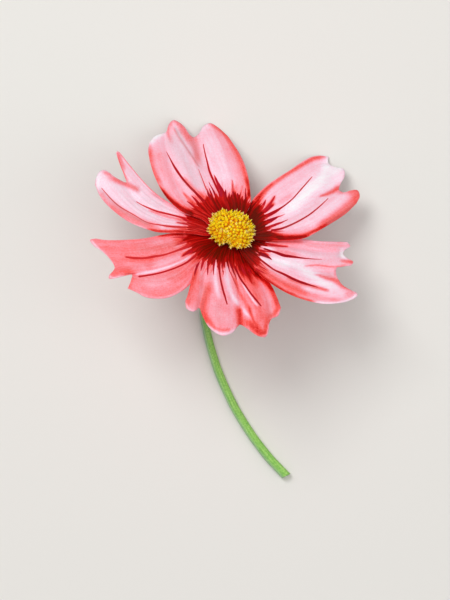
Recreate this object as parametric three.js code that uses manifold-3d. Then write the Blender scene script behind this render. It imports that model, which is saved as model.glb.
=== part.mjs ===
// A cosmos flower cut with its stem and lying on a flat surface: six notched ray petals round a
// golden disc, a ring of inner bracts behind them, and a green stem that bends down from the back
// of the bloom and lies along the surface. Millimetres, +Z up. Two petal tips and the stem touch
// the surface, and the bloom faces up, tipped to one side.

import * as THREE from 'three';
import { mergeVertices } from 'three/addons/utils/BufferGeometryUtils.js';
import Module from 'manifold-3d';

// The bloom. Its plane passes through headCentre, and its axis tips leanAngle from upright toward
// leanDirection. Azimuths round the bloom count counter-clockwise from its lowest side.
const headCentre = new THREE.Vector3(-0.8, -1.7, 21.5);
const leanAngle = 40;
const leanDirection = 72;

// The petals. Each narrows to a claw beside the receptacle, under the rim of the disc, and laps its
// neighbours from the shoulder outward. foldGrowth sets how fast a fold deepens toward the tip.
const petalThickness = 0.64;
const petalRows = 10;
const rowSpacing = 1.5;
const petalStepsPerPoint = 2;
const clawRadius = 3.4;
const clawShare = 0.66;
const shoulderRadius = 5.8;
const shoulderOverlap = 5;
const edgeLiftReach = 1.6;
const edgeLiftAtClaw = 0.6;
const bloomRadius = 36;
const cupRise = 3.8;
const foldGrowth = 1.5;
const petalColour = 0xf4a3ad;

// The disc: a low dome with a conical underside, covered by short tubular florets.
const discFoot = { radius: 2.6, height: 0.72 };
const dome = { radius: 5.5, base: 2.85, rise: 2.2 };
const domeSides = 18;
const domeSteps = 4;
const floretCount = 66;
const floretSides = 5;
const floretRadius = 0.72;
const floretFootRadius = 0.5;
const floretLength = 0.95;
const floretBevel = 0.25;
const floretSunk = 0.4;
const floretLastAngle = 94;
const goldenAngle = 137.508;
const discColour = 0xe3a912;

// The receptacle, as [radius, height] from the top of the stem up. Heights here are along the
// bloom's axis, from headCentre.
const receptacle = [[1, -5.6], [1.5, -4.4], [2.4, -3.3], [2.55, -2.6], [2.6, 0.35]];
const receptacleSides = 20;

// The two rings of bracts behind the petals. The inner ring is a collar with broad bracts; the outer
// bracts are narrow and grow from the receptacle. A path gives each bract's course as [share of its
// length, height], and turn is the azimuth of the first.
const bractCount = 8;
const bractThickness = 0.6;
const bractRows = 4;
const bractEndWidth = 0.25;
const bractRootShare = 0.12;
const bractTipShare = 0.97;
const seatGap = 0.35;
const collar = { bottom: -2.5, top: -1.25, wall: 0.8 };
const innerBract = {
  length: 4.9, width: 3.9, fullest: 1, turn: 10, stagger: 0.12,
  path: [[0.06, -1.9], [0.4, -1.75], [1, -1.2]],
};
const innerBractColour = 0x8a6a3c;
const outerBract = {
  root: 1, length: 7.6, width: 1.9, fullest: 0.8, turn: 32,
  path: [[0, -4.1], [0.45, -4.5], [1, -5.6]],
};

// The stem: round, a little thicker toward the cut, which is slightly slanted. stemUnderBloom gives
// the heights on the bloom's axis that it passes before it bends away.
const stemUnderBloom = [-2.5, -6, -9.5];
const stemSides = 10;
const stemRadiusAtHead = 0.98;
const stemRadiusAtCut = 1.2;
const stemSteps = 34;
const cutSlant = 0.35;
const stemColour = 0x7fae5c;

// Petal outlines as seen from straight above: X, Y in millimetres from the middle of the disc.
// clockwise and counterclockwise run from beside the disc to the corners of the tip, and tip runs
// between those corners round the teeth, each point with its share of the blade's width. fall bends
// the end down, lift sets the two edges over or under the neighbours, and each fold is a ridge (or
// a valley, below zero) at a share of the width, with its height and half width.
const petals = [
  {
    name: 'petal_top',
    sector: [-12, 69],
    clockwise: [[4.7, 6.5], [4.8, 9.9], [4, 15.1], [2.1, 19.9], [-1, 24.6]],
    tip: [
      [-1, 24.6, 0], [-3.4, 26.8, 0.106], [-5.6, 28.1, 0.2], [-7.5, 27.3, 0.29], [-8.6, 25.4, 0.345],
      [-9.9, 24.4, 0.43], [-11.1, 25.1, 0.5], [-12.7, 27.4, 0.57], [-15.1, 28.9, 0.66],
      [-16.5, 27.8, 0.72], [-17.1, 25.9, 0.755], [-18.1, 25.4, 0.82], [-20.2, 24.6, 0.925],
      [-21.6, 22.8, 1],
    ],
    counterclockwise: [[-8.3, 3.1], [-13, 4.8], [-17.3, 8.8], [-20.3, 14.4], [-21.8, 20], [-21.6, 22.8]],
    tipReach: 3,
    fall: 3.67,
    lift: [0.5, 0.9],
    folds: [[0.2, 0.5, 0.1], [0.43, -0.9, 0.07], [0.64, 0.7, 0.1], [0.79, -0.7, 0.06]],
  },
  {
    name: 'petal_upper_left',
    sector: [69, 106],
    clockwise: [
      [-8.3, 3.4], [-12, 5.3], [-15.5, 6.6], [-19.9, 9.6], [-23.6, 13.3], [-27, 17.4], [-29.3, 20.3],
    ],
    tip: [
      [-29.3, 20.3, 0], [-29.9, 20.6, 0.02], [-30.1, 19.8, 0.08], [-28.9, 16.3, 0.21],
      [-27.4, 12.5, 0.45], [-30.2, 13.6, 0.59], [-32.6, 15.4, 0.68], [-34.2, 15.4, 0.76],
      [-35.3, 13.8, 0.88], [-35.6, 11.8, 1],
    ],
    counterclockwise: [
      [-10.9, -0.9], [-17.4, -0.7], [-20.5, -0.3], [-26.2, 1.8], [-30.9, 5.1], [-34.1, 8.5], [-35.6, 11.8],
    ],
    tipReach: 3,
    fall: 1.6,
    lift: [-0.9, 0.9],
    folds: [[0.2, 0.4, 0.1], [0.47, -0.8, 0.09], [0.75, 0.6, 0.12]],
  },
  {
    name: 'petal_lower_left',
    sector: [106, 156],
    clockwise: [
      [-10.9, -0.4], [-14.8, -0.7], [-18.2, -1.3], [-22.6, -2.2], [-27.4, -2.6], [-32.2, -2.7],
      [-35.4, -2.3],
    ],
    tip: [
      [-35.4, -2.3, 0], [-36.8, -2.7, 0.03], [-35.6, -4.3, 0.09], [-33.9, -5.4, 0.18],
      [-31.7, -7.5, 0.3], [-30.4, -9.9, 0.41], [-31.9, -12.1, 0.465], [-30.9, -12.7, 0.49],
      [-26, -11.6, 0.56], [-26.1, -12.9, 0.72], [-26.5, -14.1, 0.86], [-27, -15.2, 1],
    ],
    counterclockwise: [
      [-6.8, -7.3], [-8, -10], [-10.1, -13.3], [-13, -15.9], [-17, -17.7], [-21.8, -17.6],
      [-25, -16.1], [-27, -15.2],
    ],
    tipReach: 8,
    fall: 2.0,
    lift: [-0.9, -0.9],
    folds: [[0.15, 0.5, 0.12], [0.39, -0.6, 0.06], [0.49, 0.5, 0.05], [0.58, -0.6, 0.06]],
  },
  {
    name: 'petal_bottom',
    sector: [156, 232],
    clockwise: [[-7.5, -7.3], [-9.8, -9.9], [-10.5, -13], [-11.4, -16.6], [-12.1, -18.5]],
    tip: [
      [-12.1, -18.5, 0], [-11.7, -20.4, 0.025], [-9.9, -21.2, 0.09], [-8.5, -20.3, 0.15],
      [-7.5, -22.6, 0.21], [-5.7, -25.5, 0.295], [-2.6, -27.4, 0.41], [0, -26.7, 0.51],
      [1.4, -25.1, 0.555], [2.3, -24.6, 0.595], [4.2, -25.8, 0.68], [6.5, -27.4, 0.77],
      [8.6, -27.8, 0.845], [9.4, -26.5, 0.865], [9.6, -24.4, 0.88], [10.3, -23.1, 0.905],
      [12, -22.2, 0.96], [12.7, -20.3, 1],
    ],
    counterclockwise: [[5.2, -8.6], [8.1, -11.7], [10.1, -14.2], [11.5, -17.1], [12.7, -20.3]],
    tipReach: 3,
    fall: 2.4,
    lift: [0.9, -0.9],
    folds: [[0.15, -0.9, 0.05], [0.4, 0.6, 0.1], [0.6, -0.8, 0.06], [0.8, 0.5, 0.08], [0.91, -0.6, 0.04]],
  },
  {
    name: 'petal_lower_right',
    sector: [232, 289],
    clockwise: [
      [4.7, -9.1], [7.8, -12.2], [13.3, -15.9], [18.3, -18], [23.8, -19.2], [29, -18.8], [31.9, -17.6],
    ],
    tip: [
      [31.9, -17.6, 0], [32.6, -16.8, 0.04], [31.1, -15.8, 0.11], [28.7, -14.3, 0.22],
      [27.3, -12.1, 0.4], [27.2, -9.9, 0.6], [29, -9.5, 0.67], [30.9, -9.2, 0.71], [31.5, -8.2, 0.74],
      [29.8, -7.2, 0.77], [29, -6.1, 0.815], [29.5, -5.1, 0.87], [30.8, -4.2, 0.93], [30.1, -3.1, 1],
    ],
    counterclockwise: [[11.2, -2.2], [15.1, -2], [18.7, -2.4], [22.9, -2.9], [27, -3], [30.1, -3.1]],
    tipReach: 4,
    fall: 2.6,
    lift: [0.9, -0.9],
    folds: [[0.15, 0.5, 0.1], [0.5, -0.9, 0.08], [0.73, 0.6, 0.06], [0.83, -0.6, 0.05]],
  },
  {
    name: 'petal_upper_right',
    sector: [289, 348],
    clockwise: [[12.5, -2.7], [18.7, -2.1], [24.2, 0.8], [29.4, 4.1], [32.5, 7]],
    tip: [
      [32.5, 7, 0], [33.4, 8.8, 0.08], [32.9, 10.4, 0.17], [31.3, 10.5, 0.22], [29.4, 9.9, 0.27],
      [28.1, 10.5, 0.36], [28.3, 11.9, 0.455], [29.5, 14.2, 0.56], [29.2, 16.1, 0.665],
      [27.3, 16.5, 0.75], [25.7, 17.2, 0.85], [25.2, 18.3, 0.94], [25.4, 19.3, 1],
    ],
    counterclockwise: [
      [4.1, 5], [4.9, 7.2], [6.8, 9.6], [10.1, 12.5], [15.1, 15.7], [19.5, 18.7], [22.6, 19.6], [25.4, 19.3],
    ],
    tipReach: 3,
    fall: 1.35,
    lift: [0.9, -0.7],
    folds: [[0.13, 0.5, 0.08], [0.36, -0.9, 0.08], [0.6, 0.6, 0.1], [0.88, -0.5, 0.05]],
  },
];

// The middle line of the stem from under the bloom to the cut. Where a point gives no height, the
// stem lies on the surface.
const stemCourse = [
  [-4.8, -12.8, 8.6], [-6.9, -17.6, 4.5], [-7.5, -21.6, 2.2], [-6.7, -26, 1.25], [-5.9, -29.4],
  [-5, -32.6], [-4, -35.8], [-2.8, -38.9], [-1.2, -42.5], [0.8, -46.6], [3.2, -50.6], [5.5, -54.1],
  [7.9, -57.3], [10.2, -60.1], [12.3, -62.3], [14.2, -64.3],
];

const radians = THREE.MathUtils.degToRad;
const lerp = THREE.MathUtils.lerp;

// The bloom's own directions: axis out of its face, down toward its lowest side, side to the left.
const tilt = radians(leanAngle);
const heading = radians(leanDirection);
const axis = new THREE.Vector3(
  Math.sin(tilt) * Math.cos(heading), Math.sin(tilt) * Math.sin(heading), Math.cos(tilt));
const side = new THREE.Vector3(-Math.sin(heading), Math.cos(heading), 0);
const down = new THREE.Vector3().crossVectors(side, axis);

function bloomPoint(radius, azimuth, height) {
  return headCentre.clone()
    .addScaledVector(down, radius * Math.cos(radians(azimuth)))
    .addScaledVector(side, radius * Math.sin(radians(azimuth)))
    .addScaledVector(axis, height);
}

// Turns a geometry made round the Y axis so that Y follows the bloom's axis.
function alongBloomAxis(geometry) {
  const basis = new THREE.Matrix4().makeBasis(side, axis, down.clone());
  return geometry.applyMatrix4(basis.setPosition(headCentre));
}

// A closed blade: surface(s, t) is its middle sheet, s from root to tip and t across, at the given
// stops. Both faces stand half the thickness off the sheet and are split into triangles alike.
function bladeGeometry(surface, rows, stops, thickness) {
  const step = 1e-3;
  const half = thickness / 2;
  const columns = stops.length - 1;
  const width = columns + 1;
  const faceSize = (rows + 1) * width;
  const positions = [];
  for (const offset of [half, -half]) {
    for (let row = 0; row <= rows; row++) {
      for (const t of stops) {
        const s = (row / rows) ** rowSpacing;
        const point = surface(s, t);
        const alongS = surface(Math.min(s + step, 1), t).sub(surface(Math.max(s - step, 0), t));
        const acrossT = surface(s, Math.min(t + step, 1)).sub(surface(s, Math.max(t - step, 0)));
        const normal = alongS.cross(acrossT).normalize();
        point.addScaledVector(normal, offset);
        positions.push(point.x, point.y, point.z);
      }
    }
  }
  const indices = [];
  const quad = (a, b, c, d) => indices.push(a, b, c, a, c, d);
  for (let row = 0; row < rows; row++) {
    for (let column = 0; column < columns; column++) {
      const a = row * width + column;
      const b = a + width;
      indices.push(a, b, b + 1, a, b + 1, a + 1);
      indices.push(a + faceSize, b + 1 + faceSize, b + faceSize);
      indices.push(a + faceSize, a + 1 + faceSize, b + 1 + faceSize);
    }
  }
  const rim = [];
  for (let column = 0; column < columns; column++) rim.push(column);
  for (let row = 0; row < rows; row++) rim.push(row * width + columns);
  for (let column = columns; column > 0; column--) rim.push(rows * width + column);
  for (let row = rows; row > 0; row--) rim.push(row * width);
  rim.forEach((start, i) => {
    const end = rim[(i + 1) % rim.length];
    quad(start, end, end + faceSize, start + faceSize);
  });
  const geometry = new THREE.BufferGeometry();
  geometry.setAttribute('position', new THREE.Float32BufferAttribute(positions, 3));
  geometry.setIndex(indices);
  return geometry;
}

function flatCurve(points) {
  const vectors = points.map(([x, y]) => new THREE.Vector3(x, y, 0));
  return new THREE.CatmullRomCurve3(vectors, false, 'catmullrom', 0.5);
}

// A curve that passes its points at the shares, from 0 to 1, that each point holds as its third
// number.
function stoppedCurve(points) {
  const curve = flatCurve(points);
  const stops = points.map(([, , stop]) => stop);
  return (t) => {
    const next = Math.max(1, stops.findIndex((stop) => stop >= t));
    const share = (t - stops[next - 1]) / (stops[next] - stops[next - 1]);
    return curve.getPoint((next - 1 + share) / (stops.length - 1));
  };
}

// The same shares, with the steps between them divided evenly.
function finerStops(points, parts) {
  const stops = [0];
  points.slice(1).forEach(([, , stop], i) => {
    for (let part = 1; part <= parts; part++) stops.push(lerp(points[i][2], stop, part / parts));
  });
  return stops;
}

// The middle sheet of a petal: its outline filled with curves that run from claw to teeth, stood
// on the tipped plane of the bloom and then arched, lifted at the edges and folded.
function petalSurface(petal) {
  const [start, end] = petal.sector;
  const clawAzimuth = (start + end) / 2;
  const clawHalfAngle = (end - start) / 2 * clawShare;
  const margin = (clawAngle, shoulderAngle, points) => {
    const claw = bloomPoint(clawRadius, clawAngle, 0);
    const shoulder = bloomPoint(shoulderRadius, shoulderAngle, 0);
    return flatCurve([[claw.x, claw.y], [shoulder.x, shoulder.y], ...points]);
  };
  const clockwise = margin(clawAzimuth - clawHalfAngle, start - shoulderOverlap, petal.clockwise);
  const counterclockwise = margin(clawAzimuth + clawHalfAngle, end + shoulderOverlap, petal.counterclockwise);
  const tip = stoppedCurve(petal.tip);
  const firstCorner = tip(0);
  const lastCorner = tip(1);
  return (s, t) => {
    const point = clockwise.getPointAt(s).lerp(counterclockwise.getPointAt(s), t);
    const teeth = tip(t).sub(firstCorner.clone().lerp(lastCorner, t));
    point.addScaledVector(teeth, s ** petal.tipReach);
    const x = point.x - headCentre.x;
    const y = point.y - headCentre.y;
    const radius = Math.hypot((x * Math.cos(heading) + y * Math.sin(heading)) / Math.cos(tilt),
      y * Math.cos(heading) - x * Math.sin(heading));
    const reach = Math.min(1, (radius - clawRadius) / (bloomRadius - clawRadius));
    const outward = THREE.MathUtils.smoothstep(radius, clawRadius, clawRadius + edgeLiftReach);
    const edge = lerp(edgeLiftAtClaw, 1, outward);
    let height = cupRise * (1 - (1 - reach) ** 2) - petal.fall * reach ** 3;
    height += edge * (petal.lift[0] * (1 - t) ** 2 + petal.lift[1] * t ** 2);
    for (const [place, size, spread] of petal.folds) {
      height += size * s ** foldGrowth * Math.exp(-(((t - place) / spread) ** 2));
    }
    point.z = headCentre.z + (height - axis.x * x - axis.y * y) / axis.z;
    return point;
  };
}

const wasm = await Module();
wasm.setup();

function toSolid(geometry) {
  const bare = geometry.clone();
  bare.deleteAttribute('normal');
  bare.deleteAttribute('uv');
  const merged = mergeVertices(bare);
  return new wasm.Manifold(new wasm.Mesh({
    numProp: 3,
    vertProperties: new Float32Array(merged.attributes.position.array),
    triVerts: new Uint32Array(merged.index.array),
  }));
}

function fuse(geometries) {
  let whole = toSolid(geometries[0]);
  for (const geometry of geometries.slice(1)) whole = whole.add(toSolid(geometry));
  const mesh = whole.getMesh();
  const geometry = new THREE.BufferGeometry();
  geometry.setAttribute('position', new THREE.Float32BufferAttribute(mesh.vertProperties, 3));
  geometry.setIndex(Array.from(mesh.triVerts));
  return geometry;
}

const lathe = (profile, segments) =>
  new THREE.LatheGeometry(profile.map(([r, h]) => new THREE.Vector2(r, h)), segments);

// The disc: a dome on a conical underside, and florets on a golden-angle spiral that ends just past
// the rim, each standing square to the dome.
function discGeometry() {
  const onDome = (turn) => [dome.radius * Math.sin(turn), dome.base + dome.rise * Math.cos(turn)];
  const profile = [[0, discFoot.height], [discFoot.radius, discFoot.height]];
  for (let i = domeSteps; i >= 0; i--) profile.push(onDome(i / domeSteps * Math.PI / 2));
  const pieces = [alongBloomAxis(lathe(profile, domeSides))];
  const floretProfile = [
    [0, -floretSunk], [floretFootRadius, -floretSunk], [floretRadius, floretLength - floretBevel],
    [0, floretLength],
  ];
  const lowest = Math.cos(radians(floretLastAngle));
  for (let i = 0; i < floretCount; i++) {
    const turn = Math.acos(1 - (1 - lowest) * (i + 0.5) / floretCount);
    const lean = Math.atan2(Math.sin(turn) / dome.radius, Math.cos(turn) / dome.rise);
    const floret = lathe(floretProfile, floretSides);
    floret.rotateZ(-lean);
    floret.translate(...onDome(turn), 0);
    floret.rotateY(radians(i * goldenAngle));
    pieces.push(alongBloomAxis(floret));
  }
  return fuse(pieces);
}

// A bract: a pointed leaf-shaped blade that starts at the radius root and follows its path.
function bractGeometry(bract, root, azimuth, rise) {
  const course = flatCurve(bract.path.map(([share, height]) => [root + share * bract.length, height + rise]));
  const surface = (s, t) => {
    const { x: radius, y: height } = course.getPoint(s);
    const outline = Math.sin(Math.PI * lerp(bractRootShare, bractTipShare, s ** bract.fullest));
    const across = (t - 0.5) * (bractEndWidth + bract.width * outline);
    const sideways = bloomPoint(1, azimuth + 90, 0).sub(headCentre);
    return bloomPoint(radius, azimuth, height).addScaledVector(sideways, -across);
  };
  return bladeGeometry(surface, bractRows, [0, 0.5, 1], bractThickness);
}

function innerBractsGeometry() {
  const inner = receptacle.at(-1)[0] + seatGap;
  const outer = inner + collar.wall;
  const profile = [
    [inner, collar.top], [inner, collar.bottom], [outer, collar.bottom], [outer, collar.top],
    [inner, collar.top],
  ];
  const pieces = [alongBloomAxis(lathe(profile, receptacleSides))];
  for (let i = 0; i < bractCount; i++) {
    const rise = i % 2 ? innerBract.stagger : -innerBract.stagger;
    pieces.push(bractGeometry(innerBract, inner, innerBract.turn + i * 360 / bractCount, rise));
  }
  return fuse(pieces);
}

// The stem: a round tube swept along its course, one flat side down where it lies.
function stemTubeGeometry() {
  const flat = Math.cos(Math.PI / stemSides);
  const radiusAt = (s) => lerp(stemRadiusAtHead, stemRadiusAtCut, s);
  const course = new THREE.CatmullRomCurve3([
    ...stemUnderBloom.map((height) => bloomPoint(0, 0, height)),
    ...stemCourse.map(([x, y, z], i) => {
      const share = (stemUnderBloom.length + i) / (stemUnderBloom.length + stemCourse.length - 1);
      const rest = radiusAt(share) * flat;
      return new THREE.Vector3(x, y, z ?? rest);
    }),
  ], false, 'catmullrom', 0.5);
  const positions = [];
  const indices = [];
  const up = new THREE.Vector3(0, 0, 1);
  for (let i = 0; i <= stemSteps; i++) {
    const s = i / stemSteps;
    const centre = course.getPoint(s);
    const along = course.getTangent(s);
    const left = new THREE.Vector3().crossVectors(up, along).normalize();
    const over = new THREE.Vector3().crossVectors(along, left);
    const slant = i === stemSteps ? cutSlant : 0;
    for (let j = 0; j < stemSides; j++) {
      const angle = (j + 0.5) / stemSides * 2 * Math.PI - Math.PI / 2;
      const point = centre.clone()
        .addScaledVector(left, radiusAt(s) * Math.cos(angle))
        .addScaledVector(over, radiusAt(s) * Math.sin(angle))
        .addScaledVector(along, slant * radiusAt(s) * Math.cos(angle));
      positions.push(point.x, point.y, point.z);
    }
  }
  for (let i = 0; i < stemSteps; i++) {
    for (let j = 0; j < stemSides; j++) {
      const a = i * stemSides + j;
      const b = i * stemSides + (j + 1) % stemSides;
      indices.push(a, b, b + stemSides, a, b + stemSides, a + stemSides);
    }
  }
  const last = stemSteps * stemSides;
  for (let j = 1; j < stemSides - 1; j++) {
    indices.push(0, j + 1, j);
    indices.push(last, last + j, last + j + 1);
  }
  const geometry = new THREE.BufferGeometry();
  geometry.setAttribute('position', new THREE.Float32BufferAttribute(positions, 3));
  geometry.setIndex(indices);
  return geometry;
}

function stemGeometry() {
  const profile = [[0, receptacle[0][1]], ...receptacle, [0, receptacle.at(-1)[1]]];
  const pieces = [stemTubeGeometry(), alongBloomAxis(lathe(profile, receptacleSides))];
  for (let i = 0; i < bractCount; i++) {
    pieces.push(bractGeometry(outerBract, outerBract.root, outerBract.turn + i * 360 / bractCount, 0));
  }
  return fuse(pieces);
}

function addMesh(group, name, geometry, color, roughness) {
  geometry.computeVertexNormals();
  const mesh = new THREE.Mesh(geometry, new THREE.MeshStandardMaterial({ color, roughness, metalness: 0 }));
  mesh.name = name;
  group.add(mesh);
}

const flower = new THREE.Group();
for (const petal of petals) {
  const stops = finerStops(petal.tip, petalStepsPerPoint);
  const geometry = bladeGeometry(petalSurface(petal), petalRows, stops, petalThickness);
  addMesh(flower, petal.name, geometry, petalColour, 0.6);
}
addMesh(flower, 'disc', discGeometry(), discColour, 0.8);
addMesh(flower, 'inner_bracts', innerBractsGeometry(), innerBractColour, 0.6);
addMesh(flower, 'stem', stemGeometry(), stemColour, 0.5);

// The origin is on the surface, under the middle of the whole flower.
const box = new THREE.Box3().setFromObject(flower);
const middle = box.getCenter(new THREE.Vector3());
flower.position.set(-middle.x, -middle.y, -box.min.z);

export default flower;
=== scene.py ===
import math

import bpy
import numpy as np
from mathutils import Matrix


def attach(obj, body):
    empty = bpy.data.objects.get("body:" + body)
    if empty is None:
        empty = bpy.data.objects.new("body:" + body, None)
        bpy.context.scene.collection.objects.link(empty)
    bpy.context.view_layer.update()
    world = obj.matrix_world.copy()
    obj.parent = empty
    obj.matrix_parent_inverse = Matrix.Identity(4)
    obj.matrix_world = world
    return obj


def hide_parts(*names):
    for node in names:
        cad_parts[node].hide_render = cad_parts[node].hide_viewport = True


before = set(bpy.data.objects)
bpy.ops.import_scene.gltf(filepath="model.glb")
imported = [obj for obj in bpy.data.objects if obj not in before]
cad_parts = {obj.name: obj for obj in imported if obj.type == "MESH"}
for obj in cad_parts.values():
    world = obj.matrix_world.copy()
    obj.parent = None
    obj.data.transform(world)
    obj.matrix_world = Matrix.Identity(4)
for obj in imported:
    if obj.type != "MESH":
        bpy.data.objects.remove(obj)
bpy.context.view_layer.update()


# ------------------------------------------------------------------------------------------------
# The stem and receptacle. A cosmos stem is round and faintly ribbed, fresh green and smooth, and it
# swells into the receptacle that carries the bloom. It bends down from the bloom, lies along the
# table and ends in a plain slanted cut that shows the pale pith.

mm = 0.001
# From the middle of the disc, where the lengths below are measured, to the part's origin.
to_origin = np.array([1.675, 17.865, 0.018])
# The middle of the bloom's plane. Its axis leans from upright toward its heading.
head = np.array([-0.8, -1.7, 21.5])
lean = math.radians(40)
heading = math.radians(72)
axis = np.array([math.sin(lean) * math.cos(heading), math.sin(lean) * math.sin(heading), math.cos(lean)])
side = np.array([-math.sin(heading), math.cos(heading), 0.0])
down = np.cross(side, axis)


def bloom_point(radius, azimuth, height):
    """A place round the bloom's own axis. Azimuths are in degrees, from its lowest side."""
    radius, azimuth, height = np.broadcast_arrays(radius, azimuth, height)
    radius = radius[..., None]
    turn = np.radians(azimuth)[..., None]
    height = height[..., None]
    return head + down * radius * np.cos(turn) + side * radius * np.sin(turn) + axis * height


def rounded(points, share):
    """A smooth curve through the points. Share runs from 0 to 1, evenly from point to point."""
    points = np.asarray(points, float)
    ends = (2 * points[0] - points[1], 2 * points[-1] - points[-2])
    padded = np.vstack([ends[0], points, ends[1]])
    place = np.clip(np.asarray(share, float), 0, 1) * (len(points) - 1)
    first = np.minimum(place.astype(int), len(points) - 2)
    u = (place - first)[..., None]
    a, b, c, d = (padded[first + i] for i in range(4))
    return 0.5 * (2 * b + (c - a) * u + (2 * a - 5 * b + 4 * c - d) * u**2 + (3 * b - a - 3 * c + d) * u**3)


class Value:
    """One output of a node. An expression on it adds the Math nodes that it needs."""

    def __init__(self, finish, socket):
        self.finish = finish
        self.socket = socket

    def maths(self, operation, *others):
        return self.finish.maths(operation, self, *others)

    def __add__(self, other):
        return self.maths("ADD", other)

    def __mul__(self, other):
        return self.maths("MULTIPLY", other)

    def __sub__(self, other):
        return self.maths("SUBTRACT", other)

    def __rsub__(self, other):
        return self.finish.maths("SUBTRACT", other, self)

    def __truediv__(self, other):
        return self.maths("DIVIDE", other)

    def __rtruediv__(self, other):
        return self.finish.maths("DIVIDE", other, self)

    def __abs__(self):
        return self.maths("ABSOLUTE")

    __radd__ = __add__
    __rmul__ = __mul__

    def swing(self, size):
        """A noise of 0 to 1, turned into one that swings about 0."""
        return (self - 0.5) * size

    def parts(self):
        """The three numbers of a vector."""
        split = self.finish.node("ShaderNodeSeparateXYZ", inputs={0: self})
        return [Value(self.finish, output) for output in split.socket.node.outputs]


class Finish:
    """A material whose nodes are made one by one, round one Principled shader."""

    def __init__(self, name, **settings):
        self.material = bpy.data.materials.new(name)
        self.material.use_nodes = True
        self.tree = self.material.node_tree
        self.shader = self.tree.nodes["Principled BSDF"]
        # With this scale, the radii by which light spreads under a surface are real lengths.
        self.shader.inputs["Subsurface Scale"].default_value = 1.0
        for socket, value in settings.items():
            self.shader.inputs[socket.replace("_", " ")].default_value = value

    def node(self, kind, settings=None, inputs=None, out=0):
        node = self.tree.nodes.new(kind)
        for key, value in (settings or {}).items():
            if key == "stops":
                ramp = node.color_ramp
                while len(ramp.elements) < len(value):
                    ramp.elements.new(0.5)
                for element, (place, colour) in zip(ramp.elements, value):
                    element.position = place
                    element.color = colour
            else:
                setattr(node, key, value)
        for key, value in (inputs or {}).items():
            if isinstance(value, Value):
                self.tree.links.new(value.socket, node.inputs[key])
            else:
                node.inputs[key].default_value = value
        return Value(self, node.outputs[out])

    def maths(self, operation, *terms):
        return self.node("ShaderNodeMath", {"operation": operation}, dict(enumerate(terms)))

    def stored(self, name, out="Fac"):
        return self.node("ShaderNodeAttribute", {"attribute_name": name}, out=out)

    def noise(self, vector, scale, detail=2.0, roughness=0.5):
        inputs = {"Vector": vector, "Scale": scale, "Detail": detail, "Roughness": roughness}
        return self.node("ShaderNodeTexNoise", inputs=inputs)

    def joined(self, x, y, z=0.0):
        return self.node("ShaderNodeCombineXYZ", inputs={"X": x, "Y": y, "Z": z})

    def place(self):
        """The place on the piece, in millimetres."""
        here = self.node("ShaderNodeTexCoord", out="Object")
        return self.node("ShaderNodeVectorMath", {"operation": "SCALE"}, {0: here, "Scale": 1 / mm})

    def ramp(self, value, stops):
        return self.node("ShaderNodeValToRGB", {"stops": stops}, {"Fac": value})

    def mix(self, share, one, other):
        return self.node("ShaderNodeMix", {"data_type": "RGBA"}, {0: share, 6: one, 7: other}, out=2)

    def between(self, value, low, high):
        """0 at low and under it, 1 at high and over it."""
        span = {"From Min": low, "From Max": high, "Value": value}
        return self.node("ShaderNodeMapRange", {"interpolation_type": "SMOOTHSTEP"}, span)

    def paint(self, colour, roughness, bump, bump_height):
        """Links the colour, the roughness if it varies, and a bump of this height in millimetres."""
        normal = self.node("ShaderNodeBump", inputs={"Height": bump, "Distance": bump_height * mm})
        self.tree.links.new(normal.socket, self.shader.inputs["Normal"])
        self.tree.links.new(colour.socket, self.shader.inputs["Base Color"])
        if roughness:
            self.tree.links.new(roughness.socket, self.shader.inputs["Roughness"])


def linear(red, green, blue):
    """A colour as it looks, turned into the values that a shader works with."""
    looks = (red, green, blue)
    return (*(c / 12.92 if c <= 0.04045 else ((c + 0.055) / 1.055) ** 2.4 for c in looks), 1.0)


def piece(name, points, faces, stored, finish, slot, nodes):
    """Makes one object from points in millimetres, with values stored at its points."""
    mesh = bpy.data.meshes.new(name)
    mesh.from_pydata(((np.asarray(points) + to_origin) * mm).tolist(), [], faces)
    for key, values in stored.items():
        values = np.asarray(values, float)
        if values.ndim == 2:
            layer = mesh.attributes.new(key, "FLOAT_VECTOR", "POINT")
            layer.data.foreach_set("vector", values.ravel())
        else:
            layer = mesh.attributes.new(key, "FLOAT", "POINT")
            layer.data.foreach_set("value", values)
    mesh.shade_smooth()
    mesh.materials.append(finish.material)
    made = bpy.data.objects.new(name, mesh)
    bpy.context.scene.collection.objects.link(made)
    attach(made, "root")
    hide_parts(*nodes)


def tube(count, sides, looped=False):
    """The faces of a tube of rings, which is capped at both ends or looped end to end."""
    faces = []
    for i in range(count if looped else count - 1):
        ring = i * sides
        after = (i + 1) % count * sides
        for j in range(sides):
            beside = (j + 1) % sides
            faces.append((ring + j, ring + beside, after + beside, after + j))
    if not looped:
        faces.append(tuple(range(sides - 1, -1, -1)))
        faces.append(tuple(range((count - 1) * sides, count * sides)))
    return faces


def gathered(parts):
    """Several (points, faces, stored) put into one mesh."""
    points = np.vstack([p for p, _, _ in parts])
    faces = []
    start = 0
    for p, f, _ in parts:
        faces += [tuple(start + i for i in face) for face in f]
        start += len(p)
    stored = {key: np.concatenate([s[key] for _, _, s in parts]) for key in parts[0][2]}
    return points, faces, stored


# The stem passes these heights on the bloom's axis and then follows its course. Where a point of the
# course has no height, the stem lies on the table.
stem_under_bloom = [-2.5, -6, -9.5]
stem_course = [
    (-4.8, -12.8, 8.6), (-6.9, -17.6, 4.5), (-7.5, -21.6, 2.2), (-6.7, -26, 1.25), (-5.9, -29.4, 0),
    (-5, -32.6, 0), (-4, -35.8, 0), (-2.8, -38.9, 0), (-1.2, -42.5, 0), (0.8, -46.6, 0), (3.2, -50.6, 0),
    (5.5, -54.1, 0), (7.9, -57.3, 0), (10.2, -60.1, 0), (12.3, -62.3, 0), (14.2, -64.3, 0),
]
stem_radii = (0.98, 1.2)
stem_rings = 220
stem_sides = 32
stem_ribs = 8
rib_depth = 0.025
cut_slant = 0.35
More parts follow.
